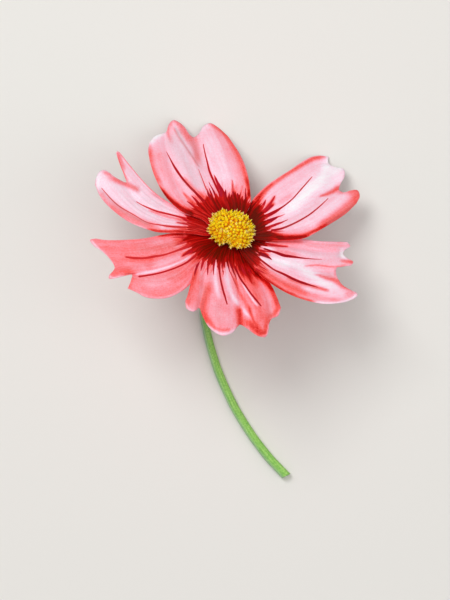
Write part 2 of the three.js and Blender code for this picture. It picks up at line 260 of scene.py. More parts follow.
# The rings of the cut: the share of its width, how deep the ring lies, and how pale its pith is.
pith_rings = [(0.9, 0.03, 0.4), (0.78, 0.1, 0.9), (0.45, 0.14, 1), (0.15, 0.15, 1)]

knots = [bloom_point(0.0, 0.0, h) for h in stem_under_bloom]
for x, y, z in stem_course:
    share = len(knots) / (len(stem_under_bloom) + len(stem_course) - 1)
    knots.append((x, y, z or np.interp(share, (0, 1), stem_radii)))
share = np.linspace(0, 1, stem_rings)
centre = rounded(knots, share)
along = np.gradient(centre, axis=0)
along /= np.linalg.norm(along, axis=1)[:, None]
left = np.cross([0, 0, 1], along)
left /= np.linalg.norm(left, axis=1)[:, None]
over = np.cross(along, left)
around = np.arange(stem_sides) / stem_sides * 2 * math.pi
ribbed = 1 - rib_depth + rib_depth * np.cos(stem_ribs * around)
radius = np.interp(share, (0, 1), stem_radii)[:, None] * ribbed
points = (centre[:, None] + left[:, None] * (radius * np.cos(around))[..., None]
          + over[:, None] * (radius * np.sin(around))[..., None])
points[-1] += along[-1] * (cut_slant * radius[-1] * np.cos(around))[:, None]
cut = points[-1]
pith = [cut.mean(0) + (cut - cut.mean(0)) * size - along[-1] * dip for size, dip, _ in pith_rings]
points = np.concatenate([points, pith])
paleness = [pale for _, _, pale in pith_rings]
stored = {
    "along": np.repeat(np.append(share, [1.0] * len(pith_rings)), stem_sides),
    "around": np.tile(around, len(points)),
    "pith": np.repeat(np.append(np.zeros(stem_rings), paleness), stem_sides),
    "seat": np.zeros(len(points) * stem_sides),
}
parts = [(points.reshape(-1, 3), tube(len(points), stem_sides), stored)]

# The receptacle's outline, as radius and height on the bloom's axis. Its top, where the disc and the
# petals are seated, is brown.
receptacle = [(0.9, -5.9), (1, -5.6), (1.5, -4.4), (2.4, -3.3), (2.55, -2.6), (2.6, 0.35)]
receptacle_rings = 26
receptacle_sides = 48
seat_from = -2.4
seat_fade = 1.2

profile = rounded(receptacle, np.linspace(0, 1, receptacle_rings))
around = np.arange(receptacle_sides) / receptacle_sides * 360
points = bloom_point(profile[:, :1], around, profile[:, 1:])
seat = np.clip((profile[:, 1] - seat_from) / seat_fade, 0, 1)
zeros = np.zeros(receptacle_rings * receptacle_sides)
stored = {
    "along": zeros,
    "around": np.tile(np.radians(-around % 360), receptacle_rings),
    "pith": zeros,
    "seat": np.repeat(seat, receptacle_sides),
}
parts.append((points.reshape(-1, 3), tube(receptacle_rings, receptacle_sides), stored))

green = Finish("stem_green", Roughness=0.45, Specular_IOR_Level=0.4, Subsurface_Weight=0.1,
               Subsurface_Radius=(0.5 * mm, 0.9 * mm, 0.3 * mm))
along = green.stored("along")
around = green.stored("around")
streak = green.noise(green.joined(around * 3.5, along * 5), 2.0, 3)
mottle = green.noise(green.place(), 2.4, 4, 0.65)
fresh = green.ramp(streak * 0.5 + mottle * 0.5, [
    (0.33, linear(0.36, 0.62, 0.22)), (0.47, linear(0.52, 0.76, 0.33)),
    (0.56, linear(0.63, 0.83, 0.41)), (0.68, linear(0.78, 0.91, 0.58))])
# Near the bloom, and all over the receptacle, the green is darker and greyer: painted shade under the
# petals.
head_end = 1 - green.between(along, 0.12, 0.5)
shaded = green.mix(head_end * 0.55, fresh, linear(0.40, 0.56, 0.40))
# A painted highlight lies along the stem's flank toward -X, most of all near the flower.
painted_highlight = green.between(around.maths("COSINE") * -1 + streak.swing(0.6), 0.15, 0.9)
painted_highlight = painted_highlight * green.between(along, 0.0, 0.03)
shaded = green.mix(painted_highlight * (head_end * 0.5 + 0.5), shaded, linear(0.66, 0.78, 0.68))
seated = green.mix(green.stored("seat"), shaded, linear(0.42, 0.13, 0.06))
cut_end = green.mix(green.stored("pith"), seated, linear(0.83, 0.88, 0.66))
green.paint(cut_end, mottle * 0.3 + 0.3, streak, 0.08)

piece("stem", *gathered(parts), green, "stem", ["stem"])


# ------------------------------------------------------------------------------------------------
# The bracts. Two rings of thin leaves back the petals: an outer ring of narrow green ones that grow
# from the receptacle, and an inner ring of broad ones, thin and brownish, joined in a collar.


def mixed(one, other, share):
    """From one, at a share of 0, to the other, at 1. It works on numbers and on shader values."""
    return one + (other - one) * share


def blade(surface, rows, stops, half_thickness, stored=None):
    """A closed leaf. surface(s, t) is its middle sheet, from root to tip and from edge to edge,
    half_thickness(s, t, sheet) thins it to its rim, and what is stored is worked out from the sheet."""
    s, t = np.meshgrid(rows, stops, indexing="ij")
    sheet = surface(s, t)
    normal = np.cross(np.gradient(sheet, axis=0), np.gradient(sheet, axis=1))
    normal /= np.maximum(np.linalg.norm(normal, axis=2), 1e-9)[..., None]
    raised = normal * half_thickness(s, t, sheet)[..., None]
    points = np.concatenate([(sheet + raised).reshape(-1, 3), (sheet - raised).reshape(-1, 3)])
    count, width = s.shape
    size = count * width
    grid = np.arange(size).reshape(count, width)
    a, b, c, d = grid[:-1, :-1], grid[1:, :-1], grid[1:, 1:], grid[:-1, 1:]
    front = np.stack([a, b, c, d], -1).reshape(-1, 4)
    rim = np.concatenate([grid[0, :-1], grid[:-1, -1], grid[-1, :0:-1], grid[:0:-1, 0]])
    after = np.roll(rim, -1)
    edge = np.stack([rim, after, after + size, rim + size], -1)
    faces = np.concatenate([front, front[:, ::-1] + size, edge])
    values = {"along": np.tile(s.ravel(), 2), "across": np.tile(t.ravel(), 2)}
    for key, value in (stored or {}).items():
        flat = value(sheet).reshape(size, -1)
        values[key] = np.concatenate([flat, flat]).squeeze()
    return points, [tuple(f) for f in faces.tolist()], values


bract_count = 8
bract_rows = 30
bract_stops = 15
bract_thickness = 0.3
bract_rim = {"width": 0.125, "thickness": 0.35}
bract_end_width = 0.25
bract_outline = (0.12, 0.97)
midrib = {"depth": 0.12, "width": 0.06}
# A bract's path gives, for each share of its length, the height on the bloom's axis. turn is the
# azimuth of the first, and every other one is staggered up or down.
outer_bract = {
    "root": 1.0, "length": 7.6, "width": 1.9, "fullest": 0.8, "cup": 0.35, "turn": 32, "stagger": 0,
    "path": [(0, -4.1), (0.45, -4.5), (1, -5.6)],
}
inner_bract = {
    "root": 2.95, "length": 4.9, "width": 3.9, "fullest": 1.0, "cup": 0.25, "turn": 10, "stagger": 0.12,
    "path": [(0.06, -1.9), (0.4, -1.75), (1, -1.2)],
}


def bract(kind, i):
    azimuth = kind["turn"] + i * 360 / bract_count
    rise = kind["stagger"] if i % 2 else -kind["stagger"]
    course = [(kind["root"] + share * kind["length"], height + rise) for share, height in kind["path"]]
    sideways = bloom_point(1.0, azimuth + 90.0, 0.0) - head

    def surface(s, t):
        middle = rounded(course, s)
        outline = np.sin(math.pi * mixed(*bract_outline, s ** kind["fullest"]))
        across = (t - 0.5) * (bract_end_width + kind["width"] * outline)
        lift = kind["cup"] * (2 * t - 1) ** 2 * outline
        lift -= midrib["depth"] * np.exp(-(((t - 0.5) / midrib["width"]) ** 2))
        return bloom_point(middle[..., 0], azimuth, middle[..., 1] + lift) - across[..., None] * sideways

    def half(s, t, sheet):
        inner = np.minimum(np.minimum(t, 1 - t), 1 - s) / bract_rim["width"]
        return bract_thickness / 2 * mixed(bract_rim["thickness"], 1, np.clip(inner, 0, 1))

    return blade(surface, np.linspace(0, 1, bract_rows), np.linspace(0, 1, bract_stops), half)


leaf = Finish("bract_green", Roughness=0.5, Subsurface_Weight=0.1,
              Subsurface_Radius=(0.4 * mm, 0.7 * mm, 0.2 * mm))
across = leaf.stored("across")
along = leaf.stored("along")
streak = leaf.noise(leaf.joined(across * 9, along * 1.5), 2.5, 3)
tip = leaf.between(along, 0.6, 1.0)
colour = leaf.ramp(streak, [
    (0.35, linear(0.24, 0.42, 0.16)), (0.55, linear(0.40, 0.60, 0.25)), (0.72, linear(0.58, 0.73, 0.38))])
leaf.paint(leaf.mix(tip * 0.6, colour, linear(0.45, 0.36, 0.18)), None, streak, 0.06)

parts = [bract(outer_bract, i) for i in range(bract_count)]
piece("outer_bracts", *gathered(parts), leaf, "stem", ["stem"])

husk = Finish("inner_bract_brown", Roughness=0.55, Subsurface_Weight=0.15,
              Subsurface_Radius=(0.8 * mm, 0.5 * mm, 0.2 * mm))
across = husk.stored("across")
along = husk.stored("along")
streak = husk.noise(husk.joined(across * 14, along * 1.2), 3.0, 4)
margin = husk.between(abs(across - 0.5), 0.3, 0.5)
colour = husk.ramp(streak, [
    (0.3, linear(0.34, 0.20, 0.10)), (0.5, linear(0.52, 0.38, 0.18)), (0.7, linear(0.62, 0.56, 0.30))])
husk.paint(husk.mix(margin * 0.7, colour, linear(0.80, 0.70, 0.48)), None, streak, 0.06)

# The collar's section, as radius and height on the bloom's axis.
collar = [(3.35, -1.15), (3.75, -1.25), (3.75, -2.5), (3.35, -2.62), (2.95, -2.5), (2.95, -1.25)]
collar_sides = 64

around = np.arange(collar_sides) / collar_sides * 360
profile = np.array(collar)
points = bloom_point(profile[:, 0], around[:, None], profile[:, 1]).reshape(-1, 3)
stored = {"along": np.full(len(points), 0.1), "across": np.full(len(points), 0.5)}
parts = [(points, tube(collar_sides, len(collar), looped=True), stored)]
parts += [bract(inner_bract, i) for i in range(bract_count)]
piece("inner_bracts", *gathered(parts), husk, "bract", ["inner_bracts"])


# ------------------------------------------------------------------------------------------------
# The petals. Six ray petals, thin and satiny, each with notched teeth at its end, soft folds that
# run to the teeth, and dark veins. They are pale pink with coral edges, and crimson at the eye.
# Each narrows to a claw under the disc and laps its neighbours.

petal_rows = 96
petal_steps_per_point = 7
petal_thickness = 0.34
rim_thickness = 0.12
rim_width = 0.9
claw_radius = 3.4
claw_share = 0.66
shoulder_radius = 5.8
shoulder_overlap = 5
edge_lift_reach = 1.6
edge_lift_at_claw = 0.6
bloom_radius = 36
cup_rise = 3.8
fold_growth = 1.5
vein_groove = 0.1
groove_width = 0.35
pleats = 9
pleat_depth = 0.07
# Both margins wave up and down. The waves set in between two shares of the petal's length and fade
# out before its end. The power keeps them to the margins, and the offset makes the two differ.
wave_height = 0.16
waves = 3.5
waves_set_in = (0.4, 0.6)
waves_fade_out = (0.9, 1.0)
wave_power = 6
wave_offset = 3

# How deep the colour is, from white at 0 to the brown of the eye at 7.
tones = [
    linear(1.00, 0.97, 0.99), linear(1.00, 0.86, 0.92), linear(1.00, 0.73, 0.80), linear(1.00, 0.56, 0.60),
    linear(0.98, 0.37, 0.35), linear(0.82, 0.09, 0.07), linear(0.60, 0.01, 0.0), linear(0.40, 0.06, 0.0),
]
# The grey that the painted shade in the petals' folds mixes in.
painted_shade_colour = linear(0.72, 0.62, 0.64)
cool_crimson = linear(0.68, 0.08, 0.24)

# The crimson eye: how far it reaches from its middle, by direction in degrees.
eye_middle = (-0.6, -1.2)
eye_reach = [
    (0, 12), (5, 11.3), (12, 10.8), (20, 10.8), (30, 11), (40, 11.2), (50, 11.2), (62, 10.7), (75, 10.6),
    (90, 10.6), (105, 10.8), (120, 11.2), (132, 11.5), (142, 12), (150, 11.8), (160, 11.6), (168, 11.8),
    (178, 11.8), (184, 12), (190, 11.2), (197, 10.5), (210, 10.8), (220, 10.5), (232, 9.7), (245, 8.7),
    (258, 8.2), (270, 8), (282, 8.8), (292, 10.4), (302, 11.6), (312, 11.2), (320, 10.2), (328, 9.5),
    (336, 9.6), (344, 10.4), (350, 10.8), (355, 12.4), (360, 12),
]
# How brown the eye is, by the same directions. Brown fades in over eye_fade from the eye's edge.
eye_brown = [
    (0, 1.2), (30, 1.25), (60, 1.0), (90, 0.75), (120, 0.35), (150, -0.1), (170, -0.3), (185, 0.1),
    (205, 0.7), (225, 0.9), (250, 0.8), (270, 0.7), (295, 0.7), (310, 0.8), (330, 1), (360, 1.2),
]
eye_fade = 3

# What follows gives each petal's form and colours. All places are X, Y from the middle of the disc.
#   sector: its two sides round the bloom, as azimuths
#   clockwise, counterclockwise: its margins, from beside the disc to the corners of the tip
#   tip: the teeth from corner to corner, each point with its share of the petal's width
#   tip_reach: how soon the teeth fade toward the claw
#   fall: how far its end bends down
#   lift: how far its two margins stand over or under the neighbours
#   folds: share of the width, height (a valley's is below zero) and half width of each
#   tone: its own tone, under all strokes
#   strokes: tone, strength, half width at both ends and course, laid over each other in order;
#     besides its colours they lay painted highlights on ridges and rims, and painted shade in folds
#   dusk: shade painted along its folds, which greys it, as strength, half width at both ends and course
#   gaps: pale wedges that cut into the eye, as half width at root and end, and course
#   spikes: dark points of the eye, as tone, half width at tip and root, and course
#   veins: tone, and the course from the tip, each point with the half width there
petals = {}
petals["petal_top"] = {
    "sector": (-12, 69),
    "clockwise": [(4.7, 6.5), (4.8, 9.9), (4, 15.1), (2.1, 19.9)],
    "counterclockwise": [(-8.3, 3.1), (-13, 4.8), (-17.3, 8.8), (-20.3, 14.4), (-21.8, 20)],
    "tip": [
        (-1, 24.6, 0), (-3.4, 26.8, 0.106), (-5.6, 28.1, 0.2), (-7.5, 27.3, 0.29), (-8.6, 25.4, 0.345),
        (-9.9, 24.4, 0.43), (-11.1, 25.1, 0.5), (-12.7, 27.4, 0.57), (-15.1, 28.9, 0.66),
        (-16.5, 27.8, 0.72), (-17.1, 25.9, 0.755), (-18.1, 25.4, 0.82), (-20.2, 24.6, 0.925),
        (-21.6, 22.8, 1),
    ],
    "tip_reach": 3, "fall": 3.67, "lift": (0.5, 0.9),
    "folds": [(0.2, 0.5, 0.1), (0.43, -0.9, 0.07), (0.64, 0.7, 0.1), (0.79, -0.7, 0.06)],
    "tone": 1.75,
    "strokes": [
        (1.2, 0.8, 2.5, 1.5, [(-15.5, 22.5), (-13, 18.5), (-10.5, 14.5), (-9, 11.5)]),
        (1.3, 0.9, 3, 2, [(-5, 25.5), (-3.5, 20), (-2, 15), (-1.5, 12)]),
        (1.0, 0.8, 1.0, 0.8, [(-2.5, 23), (-0.6, 19), (0.3, 15.5), (0.6, 12.5)]),
        (2.6, 0.8, 2.2, 1.5, [(-19.5, 21), (-18.5, 17), (-16.5, 13.5), (-14, 10.5)]),
        (2.9, 0.7, 1.5, 1.2, [(-17.5, 10.5), (-14.5, 8.2), (-12, 6.5)]),
        (3.45, 0.8, 1.2, 1.0, [(-10, 24), (-9.6, 21.5), (-8.9, 18)]),
        (3.2, 0.7, 1.0, 1.0, [(-14.2, 26.6), (-13, 24.8), (-11.6, 23.2)]),
        (3.6, 0.85, 0.9, 1.0, [(-14.6, 28.6), (-12.9, 26.9), (-11.8, 25), (-10.6, 23.4)]),
        (3.3, 0.8, 0.6, 0.5, [(-15.8, 28.4), (-16.6, 26.8), (-16.6, 25.2), (-15.8, 23)]),
        (1.1, 0.9, 0.5, 0.7, [(-15.1, 27.6), (-14.2, 25.5), (-12.5, 22.8), (-10.6, 19.8)]),
        (3.2, 0.8, 0.3, 0.25, [(-15.4, 27), (-14, 24.4), (-12.2, 21.8), (-10.4, 19), (-8.8, 16.6)]),
        (0.1, 0.95, 0.9, 0.7, [(-21.3, 22.8), (-20.4, 24.2), (-18.8, 25.1), (-18, 25.2)]),
        (0.9, 0.8, 0.6, 0.6, [(-8, 26.3), (-7, 27.2), (-5.9, 27.6)]),
        (3.0, 0.7, 1.6, 2.4, [(-4.4, 26.6), (-2.4, 24), (-0.8, 21), (1, 17.3), (2.3, 13.5), (3.2, 10)]),
        (4.15, 0.9, 0.6, 0.8, [(-5.8, 28), (-2.4, 25.7), (0, 22.4), (2.1, 18.5), (3.5, 14.5), (4.2, 11)]),
        (5.0, 0.9, 0.5, 0.6, [(3.9, 13.5), (4.4, 11), (4.5, 8.5)]),
        (3.8, 0.9, 0.8, 0.9, [(-21.6, 21.6), (-21.2, 17.5), (-20.1, 14.3), (-18.8, 12)]),
        (5.9, 0.95, 0.6, 1.0, [(-18.9, 11), (-16.8, 8.4), (-14.5, 6.4), (-12, 4.8), (-9.5, 3.7)]),
        (3.85, 0.8, 0.6, 0.7, [(-12.6, 13.4), (-10, 10.6), (-7.8, 8.6)]),
        (4.15, 0.6, 0.9, 0.9, [(-9.7, 8.7), (-7.5, 8)]),
        (4.3, 0.8, 0.35, 0.5, [(-12.6, 9.5), (-11.2, 8), (-9.6, 6.3)]),
        (4.4, 0.9, 0.2, 0.35, [(0, 13), (0.2, 11), (0.3, 9.8)]),
    ],
    "dusk": [
        (0.28, 2.0, 1.4, [(-15.5, 23), (-13, 19), (-10.8, 15), (-9.3, 12)]),
        (0.5, 0.3, 0.2, [(-14.8, 26.8), (-13, 23), (-10.8, 19.8), (-8.6, 16.4)]),
        (0.4, 0.8, 0.6, [(-14.3, 25.6), (-12.6, 22.4), (-10.8, 19.6)]),
        (0.2, 1.5, 1.2, [(-9.8, 22.5), (-9, 19), (-8.4, 16.5)]),
    ],
    "gaps": [],
    "spikes": [
        (5.9, 0.06, 0.4, [(-6.6, 10.8), (-6.3, 9.5), (-5.6, 8)]),
        (5.8, 0.04, 0.35, [(-6.1, 11.1), (-5.6, 9.8), (-5, 8)]),
        (6.1, 0.03, 0.28, [(-6.2, 12.7), (-5.6, 11.5), (-4.9, 10.2), (-4.2, 8.6)]),
        (5.4, 0.04, 0.3, [(-4.7, 15), (-4.5, 13.7), (-3.9, 12.4), (-3.3, 10.8)]),
        (6.0, 0.05, 0.32, [(-4.2, 14.2), (-3.8, 12.9), (-3.1, 11.5), (-2.4, 10.2), (-1.9, 8.5)]),
        (5.8, 0.05, 0.4, [(-3.5, 12), (-3, 10.5), (-2.7, 9)]),
        (6.4, 0.07, 0.42, [(-1.7, 10.6), (-1.7, 9.3), (-1.6, 7.8)]),
        (6.4, 0.04, 0.3, [(-0.7, 10.1), (-0.7, 9), (-0.7, 7.7)]),
        (4.2, 0.06, 0.22, [(0, 13.2), (0.1, 11.6), (0.2, 10)]),
        (6.2, 0.07, 0.45, [(0.2, 10.5), (0.3, 9.2), (0.4, 7.7)]),
        (6.2, 0.07, 0.55, [(1.4, 9.7), (1.5, 8.8), (1.5, 7.6)]),
        (5.8, 0.05, 0.35, [(2.5, 9), (2.6, 8.3), (2.6, 7.4)]),
        (6.3, 0.03, 0.3, [(3.5, 11.2), (3.5, 9.6), (3.6, 7.8)]),
        (5.6, 0.05, 0.5, [(-10.6, 8.9), (-9.4, 7.7), (-8.3, 6.2)]),
        (5.2, 0.05, 0.4, [(-12, 7.6), (-10.6, 6.6), (-9.2, 5.4)]),
    ],
    "veins": [
        (5.9, [(-17.2, 20.5, 0.09), (-16, 18.3, 0.21), (-14.8, 16.1, 0.31), (-12.6, 13, 0.33),
               (-10.4, 10.6, 0.33), (-8.7, 8.8, 0.34), (-7.2, 7.2, 0.4)]),
        (4.4, [(-8.9, 16, 0.06), (-8.1, 14, 0.14), (-7.5, 12.4, 0.17), (-6.8, 10.6, 0.22)]),
        (5.7, [(-7.5, 22.5, 0.11), (-7, 20, 0.19), (-6.4, 17.6, 0.26), (-6, 15.7, 0.33), (-5.3, 13.9, 0.34),
               (-4.1, 11.3, 0.35), (-2.8, 8.6, 0.4)]),
    ],
}
petals["petal_upper_left"] = {
    "sector": (69, 106),
    "clockwise": [(-8.3, 3.4), (-12, 5.3), (-15.5, 6.6), (-19.9, 9.6), (-23.6, 13.3), (-27, 17.4)],
    "counterclockwise": [
        (-10.9, -0.9), (-17.4, -0.7), (-20.5, -0.3), (-26.2, 1.8), (-30.9, 5.1), (-34.1, 8.5),
    ],
    "tip": [
        (-29.3, 20.3, 0), (-29.9, 20.6, 0.02), (-30.1, 19.8, 0.08), (-28.9, 16.3, 0.21),
        (-27.4, 12.5, 0.45), (-30.2, 13.6, 0.59), (-32.6, 15.4, 0.68), (-34.2, 15.4, 0.76),
        (-35.3, 13.8, 0.88), (-35.6, 11.8, 1),
    ],
    "tip_reach": 3, "fall": 1.6, "lift": (-0.9, 0.9),
    "folds": [(0.2, 0.4, 0.1), (0.47, -0.8, 0.09), (0.75, 0.6, 0.12)],
    "tone": 1.2,
    "strokes": [
        (1.0, 0.8, 2, 2.5, [(-34, 13), (-30, 10.5), (-26, 8), (-22, 7)]),
        (0.4, 0.9, 0.8, 0.8, [(-35.2, 13.5), (-35.2, 11), (-34.4, 9)]),
        (2.8, 0.8, 0.22, 0.3, [(-35.5, 13.4), (-35.6, 11.6), (-34.6, 9)]),
        (1.5, 0.8, 1.0, 1.2, [(-29, 19), (-27, 16), (-24.5, 12.6), (-22, 10.3), (-18.5, 8)]),
        (3.6, 0.95, 0.9, 0.6, [(-31.5, 13.6), (-29, 12.4), (-27, 11.6), (-25.2, 10.8), (-24.4, 10.2)]),
        (3.2, 0.8, 0.5, 0.5, [(-33.5, 15), (-31.5, 14.2)]),
        (4.2, 0.85, 0.35, 0.45, [(-30, 20), (-29.1, 16.8), (-28.1, 14.2), (-27.4, 12.7)]),
        (3.3, 0.8, 0.6, 0.4, [(-29.9, 20.6), (-29, 18.2), (-28, 15.8)]),
        (3.5, 0.8, 0.25, 0.3, [(-29.5, 20.4), (-27, 17.3), (-23.6, 13.2), (-19.9, 9.5), (-16, 6.9)]),
        (2.0, 0.8, 0.5, 0.5, [(-34.4, 8.3), (-32, 5.4), (-28.5, 2.9), (-25.5, 1.3)]),
        (3.0, 0.8, 1.0, 1.0, [(-34.2, 9.6), (-32.7, 7.4)]),
        (3.45, 0.95, 1.4, 1.1, [(-32.2, 6.8), (-29.3, 4.6), (-26, 2.9), (-23, 1.6), (-19.5, 0.7)]),
        (3.5, 0.85, 0.4, 0.6, [(-21.5, 5), (-18.5, 3.9), (-15.5, 3), (-12.5, 2.4)]),
        (1.5, 0.8, 0.6, 0.6, [(-19, 2.7), (-15.5, 2.2), (-13, 1.4)]),
        (1.7, 0.8, 0.4, 0.4, [(-16, 0.5), (-12, 0.1), (-10, -0.3)]),
        (1.2, 0.9, 0.8, 0.5, [(-19, 6.6), (-15, 5.3), (-12.5, 3.9)]),
        (2.8, 0.7, 0.3, 0.3, [(-21, 9.5), (-18, 7.7), (-15.5, 6.3)]),
        (5.2, 0.9, 0.5, 0.7, [(-22, -0.1), (-18.5, -0.5), (-15, -0.5), (-12, -0.4)]),
        (3.9, 0.8, 0.4, 0.4, [(-17.5, 0.9), (-14, 0.6), (-11.5, 0.5)]),
        (4.2, 0.7, 0.3, 0.3, [(-14.5, 1.8), (-12, 1.5)]),
    ],
    "dusk": [
        (0.28, 0.7, 0.7, [(-34.2, 10.2), (-30.5, 6.6), (-26.5, 3.6), (-22, 1.6)]),
        (0.25, 0.8, 0.8, [(-28.8, 13.6), (-26.6, 11.6), (-24.4, 10.2)]),
        (0.15, 1.2, 1.2, [(-23, 8), (-19, 6)]),
    ],
    "gaps": [],
    "spikes": [
        (4.0, 0.04, 0.1, [(-14.5, -0.1), (-12, -0.3), (-9, -0.3)]),
        (5.6, 0.03, 0.35, [(-12.7, 3.9), (-11.5, 3.5), (-9.8, 3.1)]),
        (4.8, 0.05, 0.4, [(-14.6, 1.95), (-13, 1.6), (-11.6, 1.4), (-10, 1.2)]),
        (6.0, 0.06, 0.35, [(-11.8, 0.6), (-10.5, 0.6), (-8.8, 0.5)]),
        (5.0, 0.05, 0.4, [(-13.2, 2.6), (-11.8, 2.3), (-10.2, 2)]),
    ],
    "veins": [
        (5.1, [(-25, 7.3, 0.12), (-22.8, 6.1, 0.19), (-20, 4.95, 0.27), (-18, 4.4, 0.28), (-16, 3.9, 0.24),
               (-14, 3.4, 0.26), (-12, 2.8, 0.4)]),
        (4.8, [(-34, 10.9, 0.1), (-31.7, 8.2, 0.17), (-29.3, 6, 0.2), (-25.8, 4, 0.18), (-22.4, 2, 0.17),
               (-19.4, 1.3, 0.18), (-16, 0.8, 0.24), (-12.5, 0.6, 0.3)]),
    ],
}
petals["petal_lower_left"] = {
    "sector": (106, 156),
    "clockwise": [(-10.9, -0.4), (-14.8, -0.7), (-18.2, -1.3), (-22.6, -2.2), (-27.4, -2.6), (-32.2, -2.7)],
    "counterclockwise": [
        (-6.8, -7.3), (-8, -10), (-10.1, -13.3), (-13, -15.9), (-17, -17.7), (-21.8, -17.6), (-25, -16.1),
    ],
    "tip": [
        (-35.4, -2.3, 0), (-36.8, -2.7, 0.03), (-35.6, -4.3, 0.09), (-33.9, -5.4, 0.18), (-31.7, -7.5, 0.3),
        (-30.4, -9.9, 0.41), (-31.9, -12.1, 0.465), (-30.9, -12.7, 0.49), (-26, -11.6, 0.56),
        (-26.1, -12.9, 0.72), (-26.5, -14.1, 0.86), (-27, -15.2, 1),
    ],
    "tip_reach": 8, "fall": 2.0, "lift": (-0.9, -0.9),
    "folds": [(0.15, 0.5, 0.12), (0.39, -0.6, 0.06), (0.49, 0.5, 0.05), (0.58, -0.6, 0.06)],
    "tone": 3.25,
    "strokes": [
        (3.0, 0.7, 1, 1, [(-36, -3), (-34, -4)]),
        (1.3, 0.8, 0.3, 0.3, [(-36.6, -2.9), (-35, -4.6), (-32.8, -6.6), (-31, -8.8)]),
        (2.5, 0.8, 1, 1, [(-21, -3.4), (-17.5, -3), (-15.5, -2.9)]),
        (3.9, 0.7, 0.9, 0.9, [(-28, -8), (-23, -8.3), (-20, -7.5)]),
        (3.8, 0.7, 0.8, 0.8, [(-23, -5.2), (-18, -4.6), (-14, -3.6)]),
        (2.1, 0.8, 1.0, 0.8, [(-20, -9.4), (-16, -8), (-13, -6.8), (-11, -6)]),
        (2.7, 0.8, 1, 1, [(-27.5, -9), (-22.5, -9.8)]),
        (4.0, 0.8, 0.7, 0.7, [(-31, -11.4), (-28.5, -10.8), (-26, -10.8)]),
        (1.6, 0.8, 0.25, 0.25, [(-31.8, -12.1), (-30.6, -12.6), (-28.5, -12)]),
        (2.6, 0.8, 2, 2, [(-23, -14.2), (-19, -14), (-15.5, -13)]),
        (3.5, 0.7, 1.2, 1.2, [(-14, -11.5), (-12, -10)]),
        (3.6, 0.8, 0.5, 0.5, [(-25.6, -12), (-26, -13.5), (-26.6, -15)]),
        (3.7, 0.6, 0.8, 0.8, [(-17, -12.6), (-13.5, -12.8)]),
        (2.2, 0.7, 0.35, 0.35, [(-24.5, -16.3), (-21.5, -17.4), (-18, -17.8), (-14.5, -16.6),
                                (-11.8, -14.2), (-10.3, -11.5)]),
        (0.8, 0.9, 0.4, 0.22, [(-24.6, -11.4), (-21, -10.9), (-18, -10.1), (-15.5, -9.3), (-13, -8.2),
                               (-11, -7.1)]),
        (4.9, 0.9, 0.35, 0.5, [(-19, -1.6), (-16, -1.3), (-13, -1.2)]),
        (4.6, 0.8, 0.45, 0.6, [(-14.5, -3.8), (-12.5, -3.6), (-11, -3.6)]),
        (2.4, 0.8, 0.3, 0.3, [(-15, -4.6), (-13.3, -4.2), (-11.8, -3.7)]),
        (2.1, 0.85, 0.4, 0.35, [(-13, -6.2), (-11, -5.2), (-9.8, -4.5)]),
        (5.4, 0.9, 0.4, 0.6, [(-13, -6.9), (-11.5, -6), (-9.8, -5.2)]),
    ],
    "dusk": [
        (0.12, 1.2, 1.2, [(-24, -5), (-19, -4.6), (-15, -3.8)]),
        (0.12, 1.2, 1.0, [(-24, -13.8), (-19, -13), (-14, -11.5)]),
    ],
    "gaps": [
        (0.05, 0.4, [(-9.3, -5.9), (-10.6, -6.7), (-12.4, -8)]),
        (0.05, 0.25, [(-10.4, -4.6), (-11.4, -5), (-12.6, -5.5)]),
        (0.06, 0.25, [(-11.8, -3.5), (-13, -3.9), (-14.4, -4.4)]),
    ],
    "spikes": [
        (4.8, 0.04, 0.25, [(-16, -2.1), (-14.2, -2), (-12, -2)]),
        (4.6, 0.04, 0.3, [(-15.6, -4.4), (-13.6, -3.7), (-12, -3.2)]),
        (5.3, 0.05, 0.4, [(-13.2, -7.1), (-12.1, -6.5), (-11.1, -5.9), (-9.6, -5.1)]),
    ],
    "veins": [
        (4.9, [(-27.6, -7.1, 0.24), (-25.4, -7.4, 0.34), (-22.8, -7.45, 0.3), (-20, -7, 0.32),
               (-17.8, -6.6, 0.26), (-15.6, -5.9, 0.24), (-13.4, -5.1, 0.36), (-11, -4.2, 0.55)]),
        (5.4, [(-24.1, -12.25, 0.29), (-21.8, -11.9, 0.3), (-18.5, -11.2, 0.28), (-15, -10.1, 0.24),
               (-12, -8.7, 0.25), (-9.6, -6.9, 0.3)]),
    ],
}
